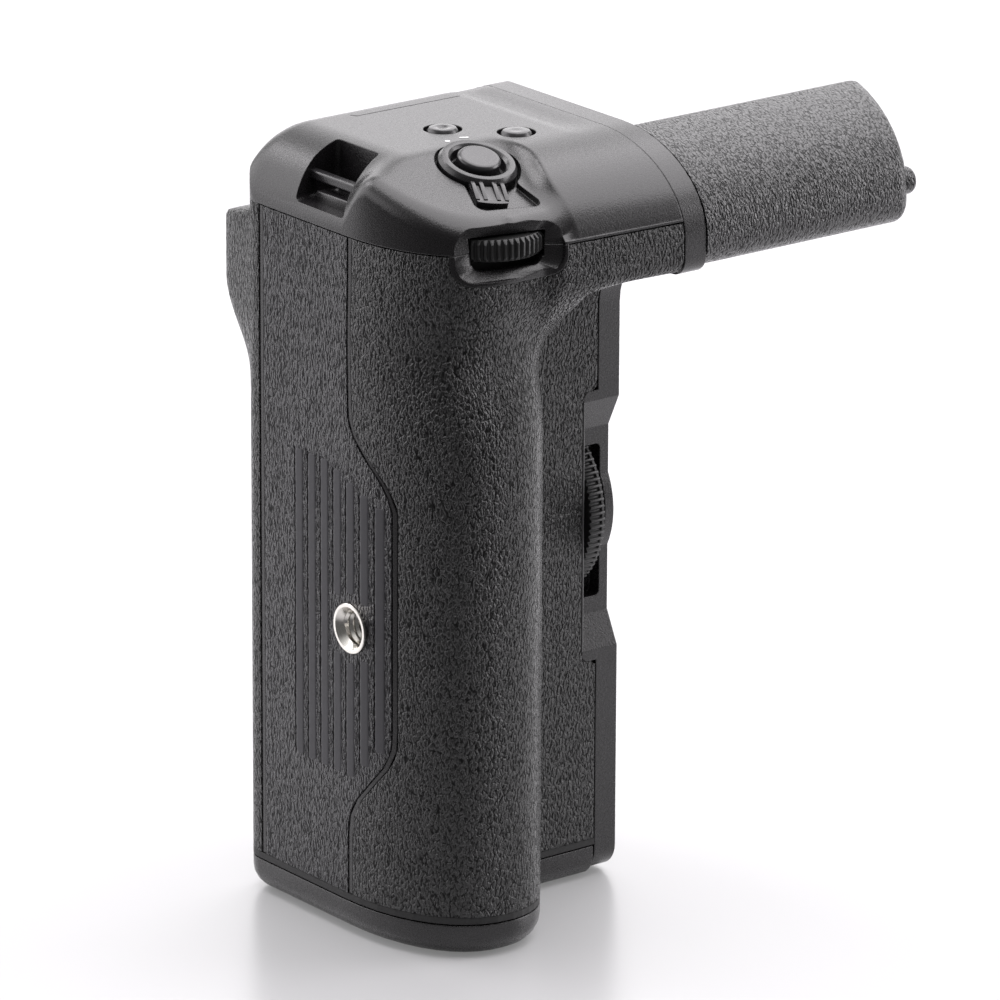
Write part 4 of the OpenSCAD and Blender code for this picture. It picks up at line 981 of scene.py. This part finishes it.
# Camera wheel with a smooth ring along its edge
softened("fixing_wheel", "camera_wheel", DIAL_BLACK, "fixing", "dial_black", 0.12)
EDGE_PROFILE = [(15, 2.55), (17.5, 2.55), (17.62, 2.67), (17.62, 3.08), (17.5, 3.2), (15, 3.2)]
wheel_edge = spun("wheel_edge", EDGE_PROFILE, Matrix.Translation(WHEEL) @ ALONG_X)
smooth_shade(wheel_edge, 30)
dress(wheel_edge, DIAL_BLACK, "fixing", "dial_black")

# Stem, battery drawer and rear controls
softened("stem_sleeve", "stem_leather", STEM_RUBBER, "grip_body", "rubber", 0.3, 2, 32, 0)
softened("battery_door", "drawer_door", SHELL, "drawer", "shell_plastic", 0.2, 2, 40, 0)
softened("rear_panel", "thumb_panel", SHELL, "grip_body", "shell_plastic", 0.25)
softened("rear_dial", "rear_thumbwheel", DIAL_BLACK, "rear_wheel", "dial_black", 0.12)
softened("rear_button_upper", "upper_key", BUTTON_GREY, "upper_button", "button_grey", 0.12, 2, 20)
softened("rear_button_lower", "lower_key", BUTTON_GREY, "lower_button", "button_grey", 0.12, 2, 20)
softened("selector_cap", "selector_knob", DIAL_BLACK, "selector", "dial_black", 0.15, 2, 20)
softened("door_latch", "drawer_latch", DIAL_BLACK, "latch", "dial_black", 0.2)

# Solids shown as they are
KEPT = {
    FRAME_PLASTIC: ("chassis", "stem_core", "battery_tray"),
    NICKEL: ("dial_shaft", "camera_screw", "locating_pins", "rear_dial_shaft", "selector_stick"),
    BRASS: ("wheel_bush",),
    GOLD: ("tray_contacts", "bay_contacts"),
    BOARD: ("control_board",),
    CELL: ("battery_inner", "battery_outer"),
    SHELL: ("cover_trim",),
    LOCK_GREY: ("plate_screws",),
    GLOSS_BLACK: ("stem_terminal",),
    DIAL_BLACK: ("selector_ring",),
}
for material, names in KEPT.items():
    for n in names:
        NODES[n].data.materials.clear()
        NODES[n].data.materials.append(material)


# Table, light and camera


def lay_table():
    """A pale table that keeps the grip's shadow."""
    bpy.ops.object.select_all(action="DESELECT")
    bpy.ops.mesh.primitive_plane_add(size=6, location=(0, 0, 0))
    floor = new_piece("table")
    mat, nodes, links, shader = finish_of("table_white", (0.82, 0.82, 0.83), 0.28, 0.5)
    cloudy = noise_of(nodes, links, placed_grain(nodes, links, (6, 6, 6)), 1.0, 3.0)
    paper = mixed(nodes, links, cloudy.outputs["Fac"], (0.385, 0.385, 0.39), (0.4, 0.4, 0.405))
    # In the grip's own reflections the table ends a little way in front of it
    ahead_of = nodes.new("ShaderNodeVectorMath")
    ahead_of.operation = "DOT_PRODUCT"
    ahead_of.inputs[1].default_value = (0.8, 0.6, 0)
    links.new(placed_grain(nodes, links, (1, 1, 1)), ahead_of.inputs[0])
    ray = nodes.new("ShaderNodeLightPath")
    beyond = ranged(nodes, links, ahead_of.outputs["Value"], -0.05, -0.17, 0.0, 0.9)
    ends = math_of(nodes, links, "MULTIPLY", beyond, ray.outputs["Is Glossy Ray"])
    shade = mixed(nodes, links, ends, (1, 1, 1), (0, 0, 0))
    # It throws more light onto the grip than it shows
    bright = mixed(nodes, links, ray.outputs["Is Camera Ray"], (1.5, 1.5, 1.5), (1, 1, 1))
    colour = multiplied(nodes, links, multiplied(nodes, links, paper, bright), shade)
    links.new(colour, shader.inputs["Base Color"])
    links.new(shade, shader.inputs["Emission Color"])
    shader.inputs["Emission Strength"].default_value = 0.17
    floor.data.materials.append(mat)


def soft_lamp(name, place, aim, size, power):
    bpy.ops.object.light_add(type="AREA", location=place)
    lamp = bpy.context.object
    lamp.name = name
    lamp.data.shape = "RECTANGLE"
    lamp.data.size, lamp.data.size_y = size
    lamp.data.energy = power
    lamp.data.color = (1.0, 0.97, 1.0)
    lamp.rotation_euler = (Vector(aim) - Vector(place)).to_track_quat("-Z", "Y").to_euler()


def light_room():
    """A white backdrop behind and above the grip, dim on the camera's side."""
    world = bpy.data.worlds.new("studio")
    bpy.context.scene.world = world
    world.use_nodes = True
    nodes, links = world.node_tree.nodes, world.node_tree.links
    ray = nodes.new("ShaderNodeLightPath")
    back = nodes["Background"]
    back.inputs["Color"].default_value = (1, 1, 1, 1)
    aim = nodes.new("ShaderNodeTexCoord")
    facing = nodes.new("ShaderNodeVectorMath")
    facing.operation = "DOT_PRODUCT"
    facing.inputs[1].default_value = (0.5, 0.68, 0.55)
    links.new(aim.outputs["Generated"], facing.inputs[0])
    room = ranged(nodes, links, facing.outputs["Value"], -0.45, 0.6, 0.13, 1.0)
    shine = math_of(nodes, links, "MULTIPLY", room, ray.outputs["Is Glossy Ray"])
    soft = math_of(nodes, links, "MULTIPLY", room, 0.35)
    lit = math_of(nodes, links, "MAXIMUM", shine, soft)
    straight = math_of(nodes, links, "MAXIMUM", ray.outputs["Is Camera Ray"],
                       ray.outputs["Is Transmission Ray"])
    seen = math_of(nodes, links, "MULTIPLY", straight, 0.96)
    links.new(math_of(nodes, links, "MAXIMUM", lit, seen), back.inputs["Strength"])


def set_camera(place, degrees, focal, sensor=36):
    """The photograph's camera: place in millimetres, turn, tilt and roll in degrees, and focal length in
    picture widths."""
    turn, tilt, roll = (math.radians(d) for d in degrees)
    right = Vector((math.cos(turn), -math.sin(turn), 0))
    up = Vector((math.sin(turn) * math.sin(tilt), math.cos(turn) * math.sin(tilt), math.cos(tilt)))
    ahead = Vector((math.sin(turn) * math.cos(tilt), math.cos(turn) * math.cos(tilt), -math.sin(tilt)))
    right, up = right * math.cos(roll) + up * math.sin(roll), up * math.cos(roll) - right * math.sin(roll)
    bpy.ops.object.camera_add()
    camera = bpy.context.object
    camera.name = "photo_camera"
    axes = Matrix((right, up, -ahead)).transposed().to_4x4()
    camera.matrix_world = Matrix.Translation(at(*place)) @ axes
    camera.data.sensor_width = sensor
    camera.data.lens = focal * sensor
    camera.data.clip_start = 0.05
    bpy.context.scene.camera = camera


lay_table()
soft_lamp("left_softbox", (-0.55, 0.95, 0.35), (0, 0, 0.07), (0.8, 0.9), 4)
soft_lamp("right_softbox", (0.8, -0.45, 0.3), (0, 0, 0.08), (0.5, 0.7), 5.2)
soft_lamp("top_softbox", (0.27, 0.02, 1.05), (0, 0, 0.1), (1.2, 1.5), 20)
soft_lamp("back_softbox", (0.95, 1.2, 0.62), (0, 0, 0.12), (1.8, 1.0), 7.5)
soft_lamp("shoulder_softbox", (-0.3, 0.62, 0.8), (0, 0, 0.12), (0.36, 0.36), 2.6)
soft_lamp("palm_softbox", (-0.85, 0.38, 0.5), (0, 0, 0.12), (0.6, 0.6), 1.9)
light_room()
set_camera((-818.0, -1125.5, 533.0), (37.78, 18.18, 0.245), 8.0933)
bpy.context.scene.view_settings.view_transform = "Standard"
